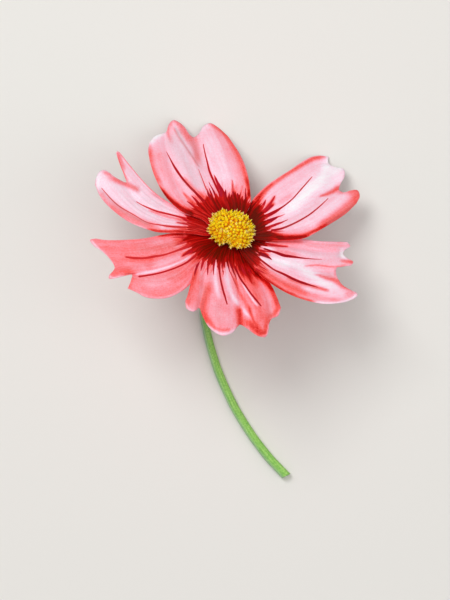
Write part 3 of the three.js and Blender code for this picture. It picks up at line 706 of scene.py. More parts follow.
petals["petal_bottom"] = {
    "sector": (156, 232),
    "clockwise": [(-7.5, -7.3), (-9.8, -9.9), (-10.5, -13), (-11.4, -16.6)],
    "counterclockwise": [(5.2, -8.6), (8.1, -11.7), (10.1, -14.2), (11.5, -17.1)],
    "tip": [
        (-12.1, -18.5, 0), (-11.7, -20.4, 0.025), (-9.9, -21.2, 0.09), (-8.5, -20.3, 0.15),
        (-7.5, -22.6, 0.21), (-5.7, -25.5, 0.295), (-2.6, -27.4, 0.41), (0, -26.7, 0.51),
        (1.4, -25.1, 0.555), (2.3, -24.6, 0.595), (4.2, -25.8, 0.68), (6.5, -27.4, 0.77),
        (8.6, -27.8, 0.845), (9.4, -26.5, 0.865), (9.6, -24.4, 0.88), (10.3, -23.1, 0.905),
        (12, -22.2, 0.96), (12.7, -20.3, 1),
    ],
    "tip_reach": 3, "fall": 2.4, "lift": (0.9, -0.9),
    "folds": [(0.15, -0.9, 0.05), (0.4, 0.6, 0.1), (0.6, -0.8, 0.06), (0.8, 0.5, 0.08), (0.91, -0.6, 0.04)],
    "tone": 2.6,
    "strokes": [
        (3.9, 0.85, 1.5, 2.2, [(2.5, -12.5), (5, -16), (7.5, -20.5), (8, -24)]),
        (3.15, 0.8, 1.1, 1.1, [(7.8, -19), (8, -22)]),
        (3.35, 0.7, 0.9, 0.9, [(6, -14.8), (8, -17.5)]),
        (2.7, 0.9, 2.2, 2.4, [(-4.3, -13), (-3.9, -17), (-3.3, -21), (-2.3, -24)]),
        (4.7, 0.9, 0.9, 0.6, [(-9.3, -10.5), (-10.2, -13.5), (-11, -16)]),
        (3.9, 0.85, 0.8, 0.8, [(-10.6, -15), (-11.4, -17.5), (-11.4, -19.3)]),
        (3.6, 0.85, 1.3, 1.2, [(-8.6, -13), (-9.4, -16), (-10, -18.8)]),
        (2.0, 0.8, 0.25, 0.25, [(-11.9, -19.3), (-11, -20.7), (-9.5, -21), (-8.7, -20.5)]),
        (4.5, 0.9, 1.0, 1.1, [(-6, -14.5), (-6.8, -17), (-7.6, -20), (-7.2, -22.3), (-6, -24.4)]),
        (1.2, 0.85, 0.5, 0.6, [(-4.4, -9), (-4.5, -12), (-4, -15), (-3.4, -17.5)]),
        (3.25, 0.7, 1, 1, [(-2, -21), (-3, -20)]),
        (3.95, 0.8, 0.4, 0.4, [(-6, -23.6), (-4.7, -25.3), (-2.6, -26.1), (-0.8, -25.8)]),
        (1.0, 0.9, 0.4, 0.5, [(-6.4, -24.8), (-5, -26.2), (-3, -27), (-0.5, -26.9), (0.6, -26)]),
        (1.0, 0.9, 0.65, 0.5, [(-1.6, -10.5), (-1.2, -13.5), (-0.3, -16.5), (1.2, -19), (3, -21),
                               (4.6, -22.6)]),
        (4.55, 0.85, 0.9, 0.9, [(3.6, -23.5), (5.5, -25.5), (8, -27)]),
        (2.85, 0.7, 0.8, 0.8, [(1, -24), (0.8, -22)]),
        (4.95, 0.95, 1.0, 0.9, [(1.8, -20.4), (2, -22.6), (2.4, -25.4)]),
        (4.75, 0.85, 1.0, 1.1, [(9.2, -24), (8.6, -26.6), (7, -26.4), (5.6, -24.6)]),
        (4.7, 0.9, 1.0, 0.7, [(7.2, -11.5), (9.6, -14.5), (11.1, -17.5), (11.9, -20)]),
        (4.3, 0.85, 0.6, 0.7, [(11.8, -17.5), (12, -20), (11, -21.8), (9.5, -22.6)]),
        (5.4, 0.95, 1.1, 0.4, [(3.8, -9.5), (6.4, -11.6), (9.2, -14), (10.8, -16)]),
        (5.15, 0.7, 1.6, 0.8, [(2, -9.5), (4.2, -12), (6.4, -14.4)]),
        (1.2, 0.9, 0.25, 0.3, [(2.6, -13.8), (4.1, -16.4), (5.8, -18.8), (6.6, -19.8)]),
        (4.25, 0.7, 0.5, 0.6, [(0.6, -13), (2, -16.5), (3.8, -19.5), (5, -22.5)]),
        (4.65, 0.7, 0.3, 0.3, [(4.4, -20), (5, -22.3), (6, -24.3)]),
        (1.6, 0.7, 0.3, 0.3, [(9.4, -24.5), (9.3, -26.3), (8.8, -27.5), (7.5, -27.7)]),
        (2.65, 0.7, 0.25, 0.25, [(12.5, -20.8), (11.5, -22.4), (10.2, -23.1)]),
    ],
    "dusk": [
        (0.22, 0.9, 0.9, [(-7, -15), (-7.6, -18), (-8, -20.4)]),
        (0.15, 1.6, 1.6, [(-4, -20), (-3.4, -23.5)]),
        (0.15, 0.8, 0.8, [(9.8, -19), (10.4, -22)]),
    ],
    "gaps": [
        (0.06, 0.5, [(-4.2, -7.8), (-4.3, -9), (-4.4, -11)]),
        (0.04, 0.4, [(-1.7, -8.4), (-1.5, -9.5), (-1.2, -11)]),
        (0.04, 0.2, [(-6.7, -8.3), (-6.9, -9.8)]),
    ],
    "spikes": [
        (5.6, 0.07, 0.4, [(-9.8, -12.2), (-9.6, -11), (-9.2, -9.8), (-8.7, -8)]),
        (5.2, 0.05, 0.45, [(-8.2, -10.9), (-7.8, -9.3), (-7.4, -7.8)]),
        (5.9, 0.04, 0.38, [(-6.3, -12), (-6.3, -10.5), (-6.2, -9), (-5.9, -7.6)]),
        (6.1, 0.05, 0.3, [(-5.2, -9.3), (-5.2, -7.6)]),
        (5.7, 0.03, 0.36, [(-4.8, -12.4), (-4.85, -11), (-4.8, -9.7), (-4.7, -7.8)]),
        (6.3, 0.03, 0.3, [(-2.5, -11), (-2.6, -9.6), (-2.6, -8)]),
        (5.0, 0.03, 0.12, [(-2.2, -12), (-2.3, -10.8)]),
        (6.4, 0.04, 0.32, [(-1.85, -10.1), (-2.1, -8.8), (-2.3, -7.4)]),
        (6.2, 0.05, 0.36, [(-0.55, -11.2), (-0.9, -10), (-1.2, -8.8), (-1.4, -7.4)]),
        (6.2, 0.03, 0.3, [(1.2, -13.1), (0.8, -12), (0.4, -11.2), (0.1, -10.3), (-0.3, -9.2),
                          (-0.6, -7.8)]),
        (4.2, 0.04, 0.2, [(1.8, -16.4), (0.9, -14.3), (0.2, -12.7), (-0.4, -11.2)]),
        (5.4, 0.06, 0.5, [(3.7, -12.2), (3.1, -11), (2.3, -9.8), (1.5, -8.4)]),
        (5.2, 0.05, 0.5, [(5, -11.6), (4.2, -10.4), (3.2, -9.2)]),
    ],
    "veins": [
        (5.9, [(-1.3, -19.5, 0.15), (-1.9, -17.3, 0.25), (-2.35, -15.8, 0.27), (-2.8, -13.9, 0.26),
               (-3.1, -12.4, 0.25), (-3.3, -10.8, 0.29), (-3.45, -9.2, 0.38), (-3.5, -7.8, 0.45)]),
        (6.0, [(7.5, -19.9, 0.16), (6.1, -18.2, 0.23), (4.8, -16.5, 0.25), (3.7, -15, 0.25),
               (2.7, -13.6, 0.25), (2, -12.4, 0.26), (1.4, -11.2, 0.3), (0.8, -9.8, 0.4)]),
    ],
}
petals["petal_lower_right"] = {
    "sector": (232, 289),
    "clockwise": [(4.7, -9.1), (7.8, -12.2), (13.3, -15.9), (18.3, -18), (23.8, -19.2), (29, -18.8)],
    "counterclockwise": [(11.2, -2.2), (15.1, -2), (18.7, -2.4), (22.9, -2.9), (27, -3)],
    "tip": [
        (31.6, -17.9, 0), (32.6, -17, 0.035), (32.2, -16.2, 0.07), (31, -15.7, 0.115), (28.7, -14.3, 0.22),
        (27.3, -12.1, 0.4), (27.2, -9.9, 0.6), (29, -9.5, 0.67), (30.9, -9.2, 0.71), (31.5, -8.2, 0.74),
        (29.8, -7.2, 0.77), (29, -6.1, 0.815), (29.5, -5.1, 0.87), (30.8, -4.2, 0.93), (30.1, -3.1, 1),
    ],
    "tip_reach": 4, "fall": 2.6, "lift": (0.9, -0.9),
    "folds": [(0.15, 0.5, 0.1), (0.5, -0.9, 0.08), (0.73, 0.6, 0.06), (0.83, -0.6, 0.05)],
    "tone": 1.9,
    "strokes": [
        (2.55, 0.8, 1.4, 1.2, [(29.5, -3.6), (25, -4.2), (19, -4), (14.5, -3.9)]),
        (3.3, 0.8, 0.6, 0.6, [(18, -3), (14, -3.2), (10, -3)]),
        (5.4, 0.9, 0.35, 0.5, [(14.3, -4.4), (12, -4.2), (9.8, -3.9)]),
        (1.6, 0.9, 0.6, 0.8, [(8, -4.7), (11, -5.2), (14.5, -5.6), (18, -6), (23, -6.8), (27.5, -6.6)]),
        (0.1, 0.95, 0.7, 0.6, [(28.7, -5.4), (28.6, -6.6), (29.4, -7.3)]),
        (2.15, 0.8, 1.2, 1.2, [(19, -10.2), (22, -10.8), (26.5, -10.8)]),
        (0.4, 0.95, 1.3, 1.6, [(9.5, -7.6), (12.5, -8.5), (16.5, -9), (20, -11.3), (23.5, -13.6),
                               (27, -15.2)]),
        (2.05, 0.7, 0.7, 0.7, [(24, -8.4), (28, -8.2), (30.5, -8.4)]),
        (3.8, 0.85, 0.4, 0.6, [(28.4, -8.1), (30, -8.3), (31.8, -8.4)]),
        (3.6, 0.85, 0.22, 0.35, [(18.8, -9.5), (22, -9.2), (26, -9.6), (29.5, -9.3)]),
        (3.9, 0.9, 0.25, 1.0, [(22.2, -11.8), (24.5, -12.6), (27.3, -13.4), (29.2, -14.8)]),
        (3.7, 0.85, 0.6, 0.35, [(27, -13.4), (28.6, -14.6), (30.8, -15.9)]),
        (3.4, 0.7, 0.35, 0.35, [(26.7, -10.4), (26.8, -12)]),
        (3.5, 0.6, 0.2, 0.2, [(21.3, -11.5), (23, -12.3)]),
        (3.9, 0.95, 1.3, 1.4, [(6.5, -9.8), (9.5, -12), (13, -14), (17, -15.6), (20.5, -16.8)]),
        (3.2, 0.8, 1.2, 1.0, [(20.5, -16.8), (24, -17.6), (27.5, -18)]),
        (1.2, 0.85, 0.7, 0.9, [(18.5, -15), (22, -16.2), (26, -16.9), (30, -16.5)]),
        (3.1, 0.75, 0.9, 0.9, [(31.5, -16.3), (29.6, -16.9)]),
        (0.6, 0.85, 0.25, 0.3, [(22, -18.8), (25, -19.1), (28.5, -18.8), (31, -17.9), (32.3, -16.9)]),
        (5.3, 0.95, 0.5, 0.5, [(5.5, -10.2), (8, -12.3), (11, -14.5), (14, -16.3), (16.5, -17.3)]),
        (4.7, 0.8, 0.4, 0.35, [(14, -16.4), (18, -17.8), (21, -18.6)]),
        (4.0, 0.7, 0.4, 0.3, [(20.5, -14.6), (23, -15.3), (25, -15.8)]),
        (0.8, 0.9, 0.3, 0.5, [(7.1, -7.2), (8.2, -7.8), (9.6, -8.6)]),
        (0.9, 0.9, 0.2, 0.35, [(7.6, -4.5), (9, -4.8), (10.5, -5.2)]),
        (4.1, 0.75, 0.4, 0.45, [(24.8, -15.9), (21.5, -14.9), (18, -14), (14.5, -12.6)]),
        (3.4, 0.6, 0.9, 0.9, [(17, -6.7), (14, -6), (11.5, -5.2)]),
        (5.6, 0.9, 0.4, 0.5, [(9.4, -6.9), (8.4, -6.4), (7.3, -6.2)]),
    ],
    "dusk": [
        (0.14, 1.1, 1.1, [(16, -8.9), (20.5, -10.4), (25.5, -11.8)]),
        (0.14, 0.8, 0.9, [(19, -8.6), (24, -8.2), (28.4, -8.2)]),
        (0.25, 0.8, 0.9, [(27.8, -6.8), (28.2, -5.2)]),
        (0.06, 0.9, 0.9, [(16, -5.6), (22, -6.4)]),
    ],
    "gaps": [
        (0.04, 0.4, [(7.4, -4.35), (9, -4.7), (11, -5)]),
        (0.06, 0.6, [(7.1, -6.95), (8, -7.6), (9.4, -8.5)]),
        (0.04, 0.2, [(8.6, -3.25), (10.5, -3.4), (13.5, -3.8)]),
    ],
    "spikes": [
        (4.8, 0.06, 0.38, [(14.6, -4.45), (12.8, -4.35), (11, -4.1), (8.8, -3.8)]),
        (6.6, 0.09, 0.45, [(10.35, -8), (9.9, -7.5), (9, -7), (7.3, -6.3)]),
        (5.0, 0.04, 0.24, [(10, -11.4), (8.6, -10.3), (7.4, -9.6), (6.4, -8.8)]),
        (5.0, 0.03, 0.24, [(9.2, -11.7), (7.7, -11), (6.3, -10.2)]),
        (5.2, 0.05, 0.3, [(10.4, -5.9), (9, -5.7), (7.4, -5.4)]),
    ],
    "veins": [
        (6.3, [(23.5, -7.75, 0.06), (20.4, -7.6, 0.13), (18, -7.35, 0.22), (15.4, -7, 0.33),
               (13.4, -6.7, 0.4), (11.8, -6.1, 0.36), (10.2, -5.6, 0.28), (8.4, -5, 0.24)]),
        (6.0, [(22.4, -15.1, 0.03), (21, -14.65, 0.15), (18.8, -14, 0.34), (16.4, -13.1, 0.36),
               (13.4, -11.6, 0.32), (11, -10.5, 0.24), (9.4, -9.4, 0.24), (7.2, -7.7, 0.26)]),
    ],
}
petals["petal_upper_right"] = {
    "sector": (289, 348),
    "clockwise": [(12.5, -2.7), (18.7, -2.1), (24.2, 0.8), (29.4, 4.1)],
    "counterclockwise": [
        (4.1, 5), (4.9, 7.2), (6.8, 9.6), (10.1, 12.5), (15.1, 15.7), (19.5, 18.7), (22.6, 19.6),
    ],
    "tip": [
        (32.5, 7, 0), (33.4, 8.8, 0.08), (32.9, 10.4, 0.17), (31.3, 10.5, 0.22), (29.4, 9.9, 0.27),
        (28.1, 10.5, 0.36), (28.3, 11.9, 0.455), (29.5, 14.2, 0.56), (29.2, 16.1, 0.665),
        (27.3, 16.5, 0.75), (25.7, 17.2, 0.85), (25.2, 18.3, 0.94), (25.4, 19.3, 1),
    ],
    "tip_reach": 3, "fall": 1.35, "lift": (0.9, -0.7),
    "folds": [(0.13, 0.5, 0.08), (0.36, -0.9, 0.08), (0.6, 0.6, 0.1), (0.88, -0.5, 0.05)],
    "tone": 1.5,
    "strokes": [
        (1.8, 0.7, 2.5, 2.0, [(22.5, 17.5), (18.5, 15.3), (14, 12), (11, 9.5)]),
        (0.9, 0.8, 1.8, 1.8, [(28.3, 15), (26.5, 12.5), (24.5, 10.8)]),
        (0.3, 0.9, 1.3, 1.0, [(27.5, 16), (26.2, 15), (24.8, 14)]),
        (0.1, 0.95, 1.6, 1.6, [(25, 17.5), (24.3, 14.5), (22, 12), (19.5, 9.8), (17, 7), (14.5, 5)]),
        (4.2, 0.9, 0.7, 0.6, [(24, 19.3), (21, 18.6), (17.6, 16.6), (13.6, 14.1), (10.5, 12)]),
        (0.0, 0.95, 0.5, 0.4, [(25.3, 19), (25.7, 17.5), (27.3, 16.6), (28.8, 16.2)]),
        (4.6, 0.95, 0.6, 1.1, [(10.7, 12.2), (8.8, 10.5), (7.2, 8.7), (6.2, 7)]),
        (4.25, 0.9, 1.0, 0.25, [(28, 11.3), (26.5, 10.2), (24.5, 9.3), (22.8, 8.8)]),
        (4.15, 0.9, 2.0, 1.6, [(33.2, 11.5), (32.6, 9.2), (31.4, 6.8), (29, 4.6), (26, 2.7), (23, 1)]),
        (4.6, 0.8, 0.4, 0.7, [(32.4, 7.6), (31, 5.9), (28.9, 4.2), (26, 2.2), (23.6, 0.7)]),
        (3.6, 0.8, 0.5, 0.5, [(31.5, 10), (29.5, 9.8), (28, 9.7)]),
        (1.2, 0.8, 1.0, 0.9, [(29.5, 8.9), (27, 7), (24.5, 4.8), (22, 3), (19.5, 1.5), (16.5, 0.3)]),
        (2.6, 0.7, 0.9, 0.9, [(20.5, 0.3), (17, -0.6), (13.5, -1)]),
        (5.0, 0.9, 0.5, 0.8, [(24.5, 1.2), (21.5, -0.3), (19, -1.4), (16, -1.9), (13, -1.9)]),
        (6.1, 0.95, 0.35, 1.3, [(20, -1.7), (17, -2.1), (14, -2.2), (11, -1.8), (8, -1.2)]),
        (0.9, 0.7, 0.5, 0.5, [(22.8, 7.6), (25, 8.3)]),
        (2.7, 0.7, 0.8, 0.8, [(12.4, 7), (14, 8), (15.8, 9)]),
        (4.9, 0.9, 0.45, 0.5, [(11.1, 8.6), (10.3, 7.4), (9.2, 6)]),
        (5.0, 0.9, 0.4, 0.5, [(10.9, 6.9), (9.8, 5.9), (8.6, 4.9)]),
    ],
    "dusk": [
        (0.12, 1.3, 1.3, [(25.6, 10.2), (22, 7.2), (18, 3.9), (14.5, 1.6)]),
        (0.1, 1.1, 1.1, [(25.4, 14.4), (24.6, 11.6)]),
        (0.2, 0.8, 0.7, [(31.5, 6.4), (28.8, 4.1), (25.2, 1.8)]),
    ],
    "gaps": [
        (0.05, 0.3, [(8.6, 0.8), (9.6, 1.2), (11, 1.9)]),
        (0.05, 0.25, [(9, -0.3), (10, -0.1), (11.2, 0.2)]),
        (0.05, 0.4, [(8.3, 4.1), (9.5, 4.5), (11, 5.2)]),
    ],
    "spikes": [
        (5.0, 0.08, 0.5, [(11.3, 9), (10.5, 7.7), (9.7, 6.3), (8.4, 4.9)]),
        (5.7, 0.05, 0.42, [(11.1, 6.6), (10, 5.9), (8.5, 4.7)]),
        (5.0, 0.05, 0.5, [(8.9, 8), (8.4, 6.9), (7.6, 5.6)]),
        (4.7, 0.06, 0.2, [(13.9, 4.15), (12.8, 3.65), (11.6, 3.3)]),
        (6.1, 0.1, 0.55, [(12.1, 3.5), (11, 2.9), (9.4, 2.2)]),
        (5.2, 0.05, 0.4, [(14.8, 2.75), (13.2, 2), (11.8, 1.5), (9, 0.4)]),
        (4.5, 0.03, 0.2, [(14.2, -0.35), (12.6, -0.4), (11, -0.5)]),
    ],
    "veins": [
        (5.9, [(21, 14, 0.1), (19.4, 12.1, 0.17), (17.6, 10.1, 0.18), (16, 8.3, 0.2), (14.2, 6.7, 0.2),
               (12.6, 5.6, 0.26), (11.2, 4.7, 0.42), (9, 3.6, 0.5)]),
        (5.8, [(25.2, 8.3, 0.11), (23, 6.2, 0.18), (20.4, 4.1, 0.22), (18, 2.6, 0.24), (16, 1.55, 0.25),
               (14.4, 0.85, 0.27), (12.6, 0.2, 0.28), (10.4, -0.15, 0.3)]),
    ],
}


def paced(points, share, count=201):
    """The smooth curve through the points, at shares of its length."""
    steps = np.linspace(0, 1, count)
    course = rounded(points, steps)
    length = np.append(0, np.cumsum(np.linalg.norm(np.diff(course, axis=0), axis=1)))
    return rounded(points, np.interp(np.asarray(share) * length[-1], length, steps))


def smooth(points, count=24):
    """More points along the smooth curve through a few."""
    return rounded(points, np.linspace(0, 1, count))


def near(line, place):
    """For each place the nearest point of a line: its distance, the side it is on, its share of the
    line's points, and how far past the line's first end the place lies."""
    x, y = place[..., 0], place[..., 1]
    best = np.full(x.shape, np.inf)
    sign = np.ones(x.shape)
    share = np.zeros(x.shape)
    for i in range(len(line) - 1):
        (ax, ay), (bx, by) = line[i][:2], line[i + 1][:2]
        long = (bx - ax) ** 2 + (by - ay) ** 2
        u = np.clip(((x - ax) * (bx - ax) + (y - ay) * (by - ay)) / long, 0, 1)
        distance = np.hypot(x - ax - u * (bx - ax), y - ay - u * (by - ay))
        closer = distance < best
        turn = np.sign((bx - ax) * (y - ay) - (by - ay) * (x - ax))
        best = np.where(closer, distance, best)
        sign = np.where(closer, turn, sign)
        share = np.where(closer, i + u, share)
    (ax, ay), (bx, by) = line[0][:2], line[1][:2]
    past = ((ax - x) * (bx - ax) + (ay - y) * (by - ay)) / math.hypot(bx - ax, by - ay)
    return best, sign, share / (len(line) - 1), np.where(share == 0, np.maximum(past, 0), 0)


def petal_sheet(petal):
    """The middle sheet of a petal. It is shaped much as the part's solid is, with the pleats, the
    waves and the grooves of the veins added."""
    start, end = petal["sector"]
    middle = (start + end) / 2
    reach = (end - start) / 2 * claw_share
    teeth = np.array([point[:2] for point in petal["tip"]])
    stops = np.array([stop for _, _, stop in petal["tip"]])
    even = np.linspace(0, 1, len(stops))

    def margin(claw_azimuth, shoulder_azimuth, points, corner):
        claw = bloom_point(claw_radius, claw_azimuth, 0.0)
        shoulder = bloom_point(shoulder_radius, shoulder_azimuth, 0.0)
        return [claw[:2], shoulder[:2], *points, corner]

    clockwise = margin(middle - reach, start - shoulder_overlap, petal["clockwise"], teeth[0])
    counterclockwise = margin(middle + reach, end + shoulder_overlap, petal["counterclockwise"], teeth[-1])

    def flat(s, t):
        point = mixed(paced(clockwise, s), paced(counterclockwise, s), t[..., None])
        tip = rounded(teeth, np.interp(t, stops, even))
        chord = mixed(teeth[0], teeth[-1], t[..., None])
        return point + (tip - chord) * (s ** petal["tip_reach"])[..., None]

    def surface(s, t):
        point = flat(s, t)
        x = point[..., 0] - head[0]
        y = point[..., 1] - head[1]
        radius = np.hypot((x * math.cos(heading) + y * math.sin(heading)) / math.cos(lean),
                          y * math.cos(heading) - x * math.sin(heading))
        reach = np.minimum(1, (radius - claw_radius) / (bloom_radius - claw_radius))
        out = np.clip((radius - claw_radius) / edge_lift_reach, 0, 1)
        edge = mixed(edge_lift_at_claw, 1, out**2 * (3 - 2 * out))
        height = cup_rise * (1 - (1 - reach) ** 2) - petal["fall"] * reach**3
        height += edge * (petal["lift"][0] * (1 - t) ** 2 + petal["lift"][1] * t**2)
        for place, size, spread in petal["folds"]:
            height += size * s**fold_growth * np.exp(-(((t - place) / spread) ** 2))
        height += pleat_depth * np.sin(math.pi * np.clip(s, 0, 1)) * np.cos(2 * math.pi * pleats * t)
        waving = np.interp(s, waves_set_in, (0, 1)) * np.interp(s, waves_fade_out, (1, 0))
        waving *= np.sin(2 * math.pi * waves * s + wave_offset * t)
        height += wave_height * waving * (2 * t - 1) ** wave_power
        for _, course in petal["veins"]:
            distance, _, _, past = near(smooth([p[:2] for p in course]), point)
            height -= vein_groove * np.exp(-((distance / groove_width) ** 2)) * (past < 1)
        z = head[2] + (height - axis[0] * x - axis[1] * y) / axis[2]
        return np.concatenate([point, z[..., None]], -1)

    return surface


def petal_half_thickness(s, t, sheet):
    to_clockwise = np.linalg.norm(sheet - sheet[:, :1], axis=2)
    to_counterclockwise = np.linalg.norm(sheet - sheet[:, -1:], axis=2)
    to_tip = np.linalg.norm(sheet - sheet[-1:], axis=2)
    nearest = np.minimum(np.minimum(to_clockwise, to_counterclockwise), to_tip)
    inner = np.clip(nearest / rim_width, 0, 1)
    return mixed(rim_thickness, petal_thickness, np.sqrt(inner * (2 - inner))) / 2


# A stroke keeps this share of its strength at its ends, gains the rest over this share of its points,
# and fades out to its sides by this power.
stroke_at_end = 0.6
stroke_end = 0.1
stroke_softness = 2.3
spike_taper = 0.8
# What is stored where there is no spike or gap near, and where there is no vein.
far_inside = -9.0
far_vein = (99.0, -1.0, 0.0)
vein_names = ("vein_1", "vein_2", "vein_3")


def tone_of(petal, sheet):
    """The petal's tone, with its strokes laid over each other in order. They lay on its colours, and also
    painted highlights on ridges and rims and painted shade in folds.
    """
    tone = np.full(sheet.shape[:-1], petal["tone"], float)
    for target, strength, width_from, width_to, course in petal["strokes"]:
        distance, _, share, _ = near(smooth(course) if len(course) > 2 else course, sheet)
        width = mixed(width_from, width_to, share)
        whole = np.clip(np.minimum(share, 1 - share) / stroke_end, 0, 1)
        cover = strength * mixed(stroke_at_end, 1, whole) * np.exp(-((distance / width) ** stroke_softness))
        tone = mixed(tone, target, cover)
    return tone


def painted_shade_of(petal, sheet):
    """How far the petal is greyed by shade painted along its folds."""
    dusk = np.zeros(sheet.shape[:-1])
    for strength, width_from, width_to, course in petal["dusk"]:
        distance, _, share, _ = near(smooth(course), sheet)
        dusk = np.maximum(dusk, strength * np.exp(-((distance / mixed(width_from, width_to, share)) ** 2)))
    return dusk


def vein_of(tone, course, sheet):
    """How far each place is from a vein, the vein's half width beside it, and its tone."""
    line = smooth(course)
    distance, sign, share, past = near(line, sheet)
    width = np.interp(share, np.linspace(0, 1, len(line)), line[:, 2])
    return np.stack([distance * sign, width - past, np.full(width.shape, tone)], -1)


def eye_edge_of(petal, sheet):
    """How far each place lies inside a spike of the eye, the spike's tone, and how far inside a gap."""
    inside_spike = np.full(sheet.shape[:-1], far_inside)
    tone = np.zeros(inside_spike.shape)
    for spike_tone, at_tip, at_root, course in petal["spikes"]:
        distance, _, share, past = near(smooth(course), sheet)
        depth = mixed(at_tip, at_root, share**spike_taper) - distance - past
        tone = np.where(depth > inside_spike, spike_tone, tone)
        inside_spike = np.maximum(depth, inside_spike)
    inside_gap = np.full(inside_spike.shape, far_inside)
    for at_root, at_end, course in petal["gaps"]:
        distance, _, share, past = near(course, sheet)
        inside_gap = np.maximum(mixed(at_root, at_end, share) - distance - past, inside_gap)
    return np.stack([inside_spike, tone, inside_gap], -1)


def round_eye(sheet):
    """The direction from the middle of the eye, in degrees."""
    return np.degrees(np.arctan2(sheet[..., 1] - eye_middle[1], sheet[..., 0] - eye_middle[0])) % 360


def inside_eye(sheet):
    """How far each place lies inside the edge of the eye."""
    reach = np.hypot(sheet[..., 0] - eye_middle[0], sheet[..., 1] - eye_middle[1])
    return np.interp(round_eye(sheet), *zip(*eye_reach)) - reach


def brown_of_eye(sheet):
    return np.interp(round_eye(sheet), *zip(*eye_brown)) * np.clip(inside_eye(sheet) / eye_fade, 0, 1)


# In millimetres: how far flames of two sizes swing the edge of the eye, how far a gap cuts into it,
# and over which depths the eye and the flush round it set in.
flame_swings = (5.5, 3.5)
gap_depth = 4
eye_sets_in = (-0.3, 0.45)
flush_sets_in = (-3.4, 0.6)
flush_tone = 1.35
# The eye's own tone, and how much deeper it is where the eye is brown.
eye_base_tone = 5.05
brown_tone = 1.2
# How soft the sides of gaps, spikes and veins are, in millimetres from outside to inside.
gap_side = (-0.12, 0.12)
spike_side = (-0.07, 0.09)
vein_side = (-0.07, 0.1)
vein_cover = 0.95
# How much of a spike or a vein is lost in the eye.
lost_in_eye = 0.6

satin = Finish("petal_satin", Specular_IOR_Level=0.08, Sheen_Weight=0.01, Sheen_Roughness=0.4,
               Subsurface_Weight=0.12, Subsurface_Radius=(0.9 * mm, 0.35 * mm, 0.35 * mm))
along = satin.stored("along")
across = satin.stored("across")
seed = satin.stored("seed")
direction = satin.stored("round_eye")
depth = satin.stored("inside_eye")
inside_spike, spike_tone, inside_gap = satin.stored("eye_edge", "Vector").parts()
place = satin.place()

# Washes, grain and speckle cloud the tone, and fibres and streaks run from claw to tip.
wash = satin.noise(place, 0.35, 3)
grain = satin.noise(place, 1.6, 4, 0.7)
speckle = satin.noise(place, 3.2, 2)
fibre = satin.noise(satin.joined(across * 46, along * 5, seed), 1.0, 3, 0.6)
streak = satin.noise(satin.joined(across * 24, along * 3, seed + 3), 1.0, 2, 0.5)
# The stored tone holds the strokes, with painted highlights and painted fold shade among them.
tone = satin.stored("tone") + wash.swing(0.8) + grain.swing(1.2) + speckle.swing(0.8)
tone = tone + fibre.swing(0.9) + streak.swing(0.9)

# The eye runs out in ragged flames, with a flush of deeper pink round them.
flames = satin.noise(satin.joined(direction * 0.26, depth * 0.05, seed), 1.0, 2)
fine_flames = satin.noise(satin.joined(direction * 0.7, depth * 0.08, seed + 7), 1.0, 1)
gap = satin.between(inside_gap + fibre.swing(0.2), *gap_side)
flame = depth + flames.swing(flame_swings[0]) + fine_flames.swing(flame_swings[1]) - gap * gap_depth
eye = satin.between(flame, *eye_sets_in)
flush = satin.between(flame, *flush_sets_in) * flush_tone
lines_in_eye = satin.between(streak + fibre.swing(0.5), 0.38, 0.62)
eye_tone = satin.stored("brown") * brown_tone + eye_base_tone
eye_tone = eye_tone + lines_in_eye + fibre.swing(1.6) + grain.swing(0.6)
tone = mixed(tone + flush * (1 - eye), eye_tone, eye)
spike = satin.between(inside_spike + fibre.swing(0.14), *spike_side) * (1 - eye * lost_in_eye)
tone = mixed(tone, spike_tone + grain.swing(0.6), spike)
in_vein = 0
for name in vein_names:
    distance, width, vein_tone = satin.stored(name, "Vector").parts()
    inside_vein = width - abs(distance) + fibre.swing(0.12)
    vein = satin.between(inside_vein, *vein_side) * (vein_cover - eye * lost_in_eye)
    tone = mixed(tone, vein_tone, vein)
    in_vein = vein + in_vein

# The back of a petal is paler than its front.
tone = tone * (satin.stored("front") * 0.3 + 0.7)
deepest = len(tones) - 1
colour = satin.ramp(tone / deepest, [(i / deepest, colour) for i, colour in enumerate(tones)])
colour = satin.mix((spike * 0.36 + in_vein * 0.22) * (1 - eye * 0.85), colour, cool_crimson)
# Shade painted along the folds greys the colour.
colour = satin.mix(satin.stored("dusk") * (0.6 + grain * 0.8), colour, painted_shade_colour)
satin.paint(colour, grain * 0.2 + 0.42, fibre * 0.7 + grain * 0.3, 0.05)

seeds = np.random.default_rng(5)
rows = np.linspace(0, 1, petal_rows)
for name, petal in petals.items():
    stops = np.array([stop for _, _, stop in petal["tip"]])
    steps = np.arange((len(stops) - 1) * petal_steps_per_point + 1) / petal_steps_per_point
    finer = np.interp(steps, np.arange(len(stops)), stops)
    stored = {
        "tone": lambda sheet: tone_of(petal, sheet),
        "dusk": lambda sheet: painted_shade_of(petal, sheet),
        "eye_edge": lambda sheet: eye_edge_of(petal, sheet),
        "round_eye": round_eye,
        "inside_eye": inside_eye,
        "brown": brown_of_eye,
    }
    for vein_name, vein in zip(vein_names, petal["veins"]):
        stored[vein_name] = lambda sheet, vein=vein: vein_of(*vein, sheet)
    points, faces, values = blade(petal_sheet(petal), rows, finer, petal_half_thickness, stored)
    for vein_name in vein_names[len(petal["veins"]):]:
        values[vein_name] = np.tile(far_vein, (len(points), 1))
    values["front"] = np.repeat([1.0, 0.0], len(points) // 2)
    values["seed"] = np.full(len(points), seeds.uniform(0, 50))
    piece(name, points, faces, values, satin, "petal", [name])


# ------------------------------------------------------------------------------------------------
# The disc. A dome packed with tubular florets on a golden-angle spiral: closed buds in the middle,
# and toward the rim open ones with five lobes round a column of powdery yellow anthers.

# The dome's underside, as radius and height on the bloom's axis. Angles on the dome count in degrees
# from its top to its rim.
disc_foot = [(0.52, 0.72), (2.6, 0.72)]
dome_radius = 5.3
dome_base = 2.85
dome_rise = 2.2
dome_sides = 48
dome_rings = 14
dome_top_angle = 4
floret_count = 210
floret_last_angle = 90
golden_angle = 137.508
floret_length = 1.2
bud_half_width = 0.40
open_half_width = 0.32
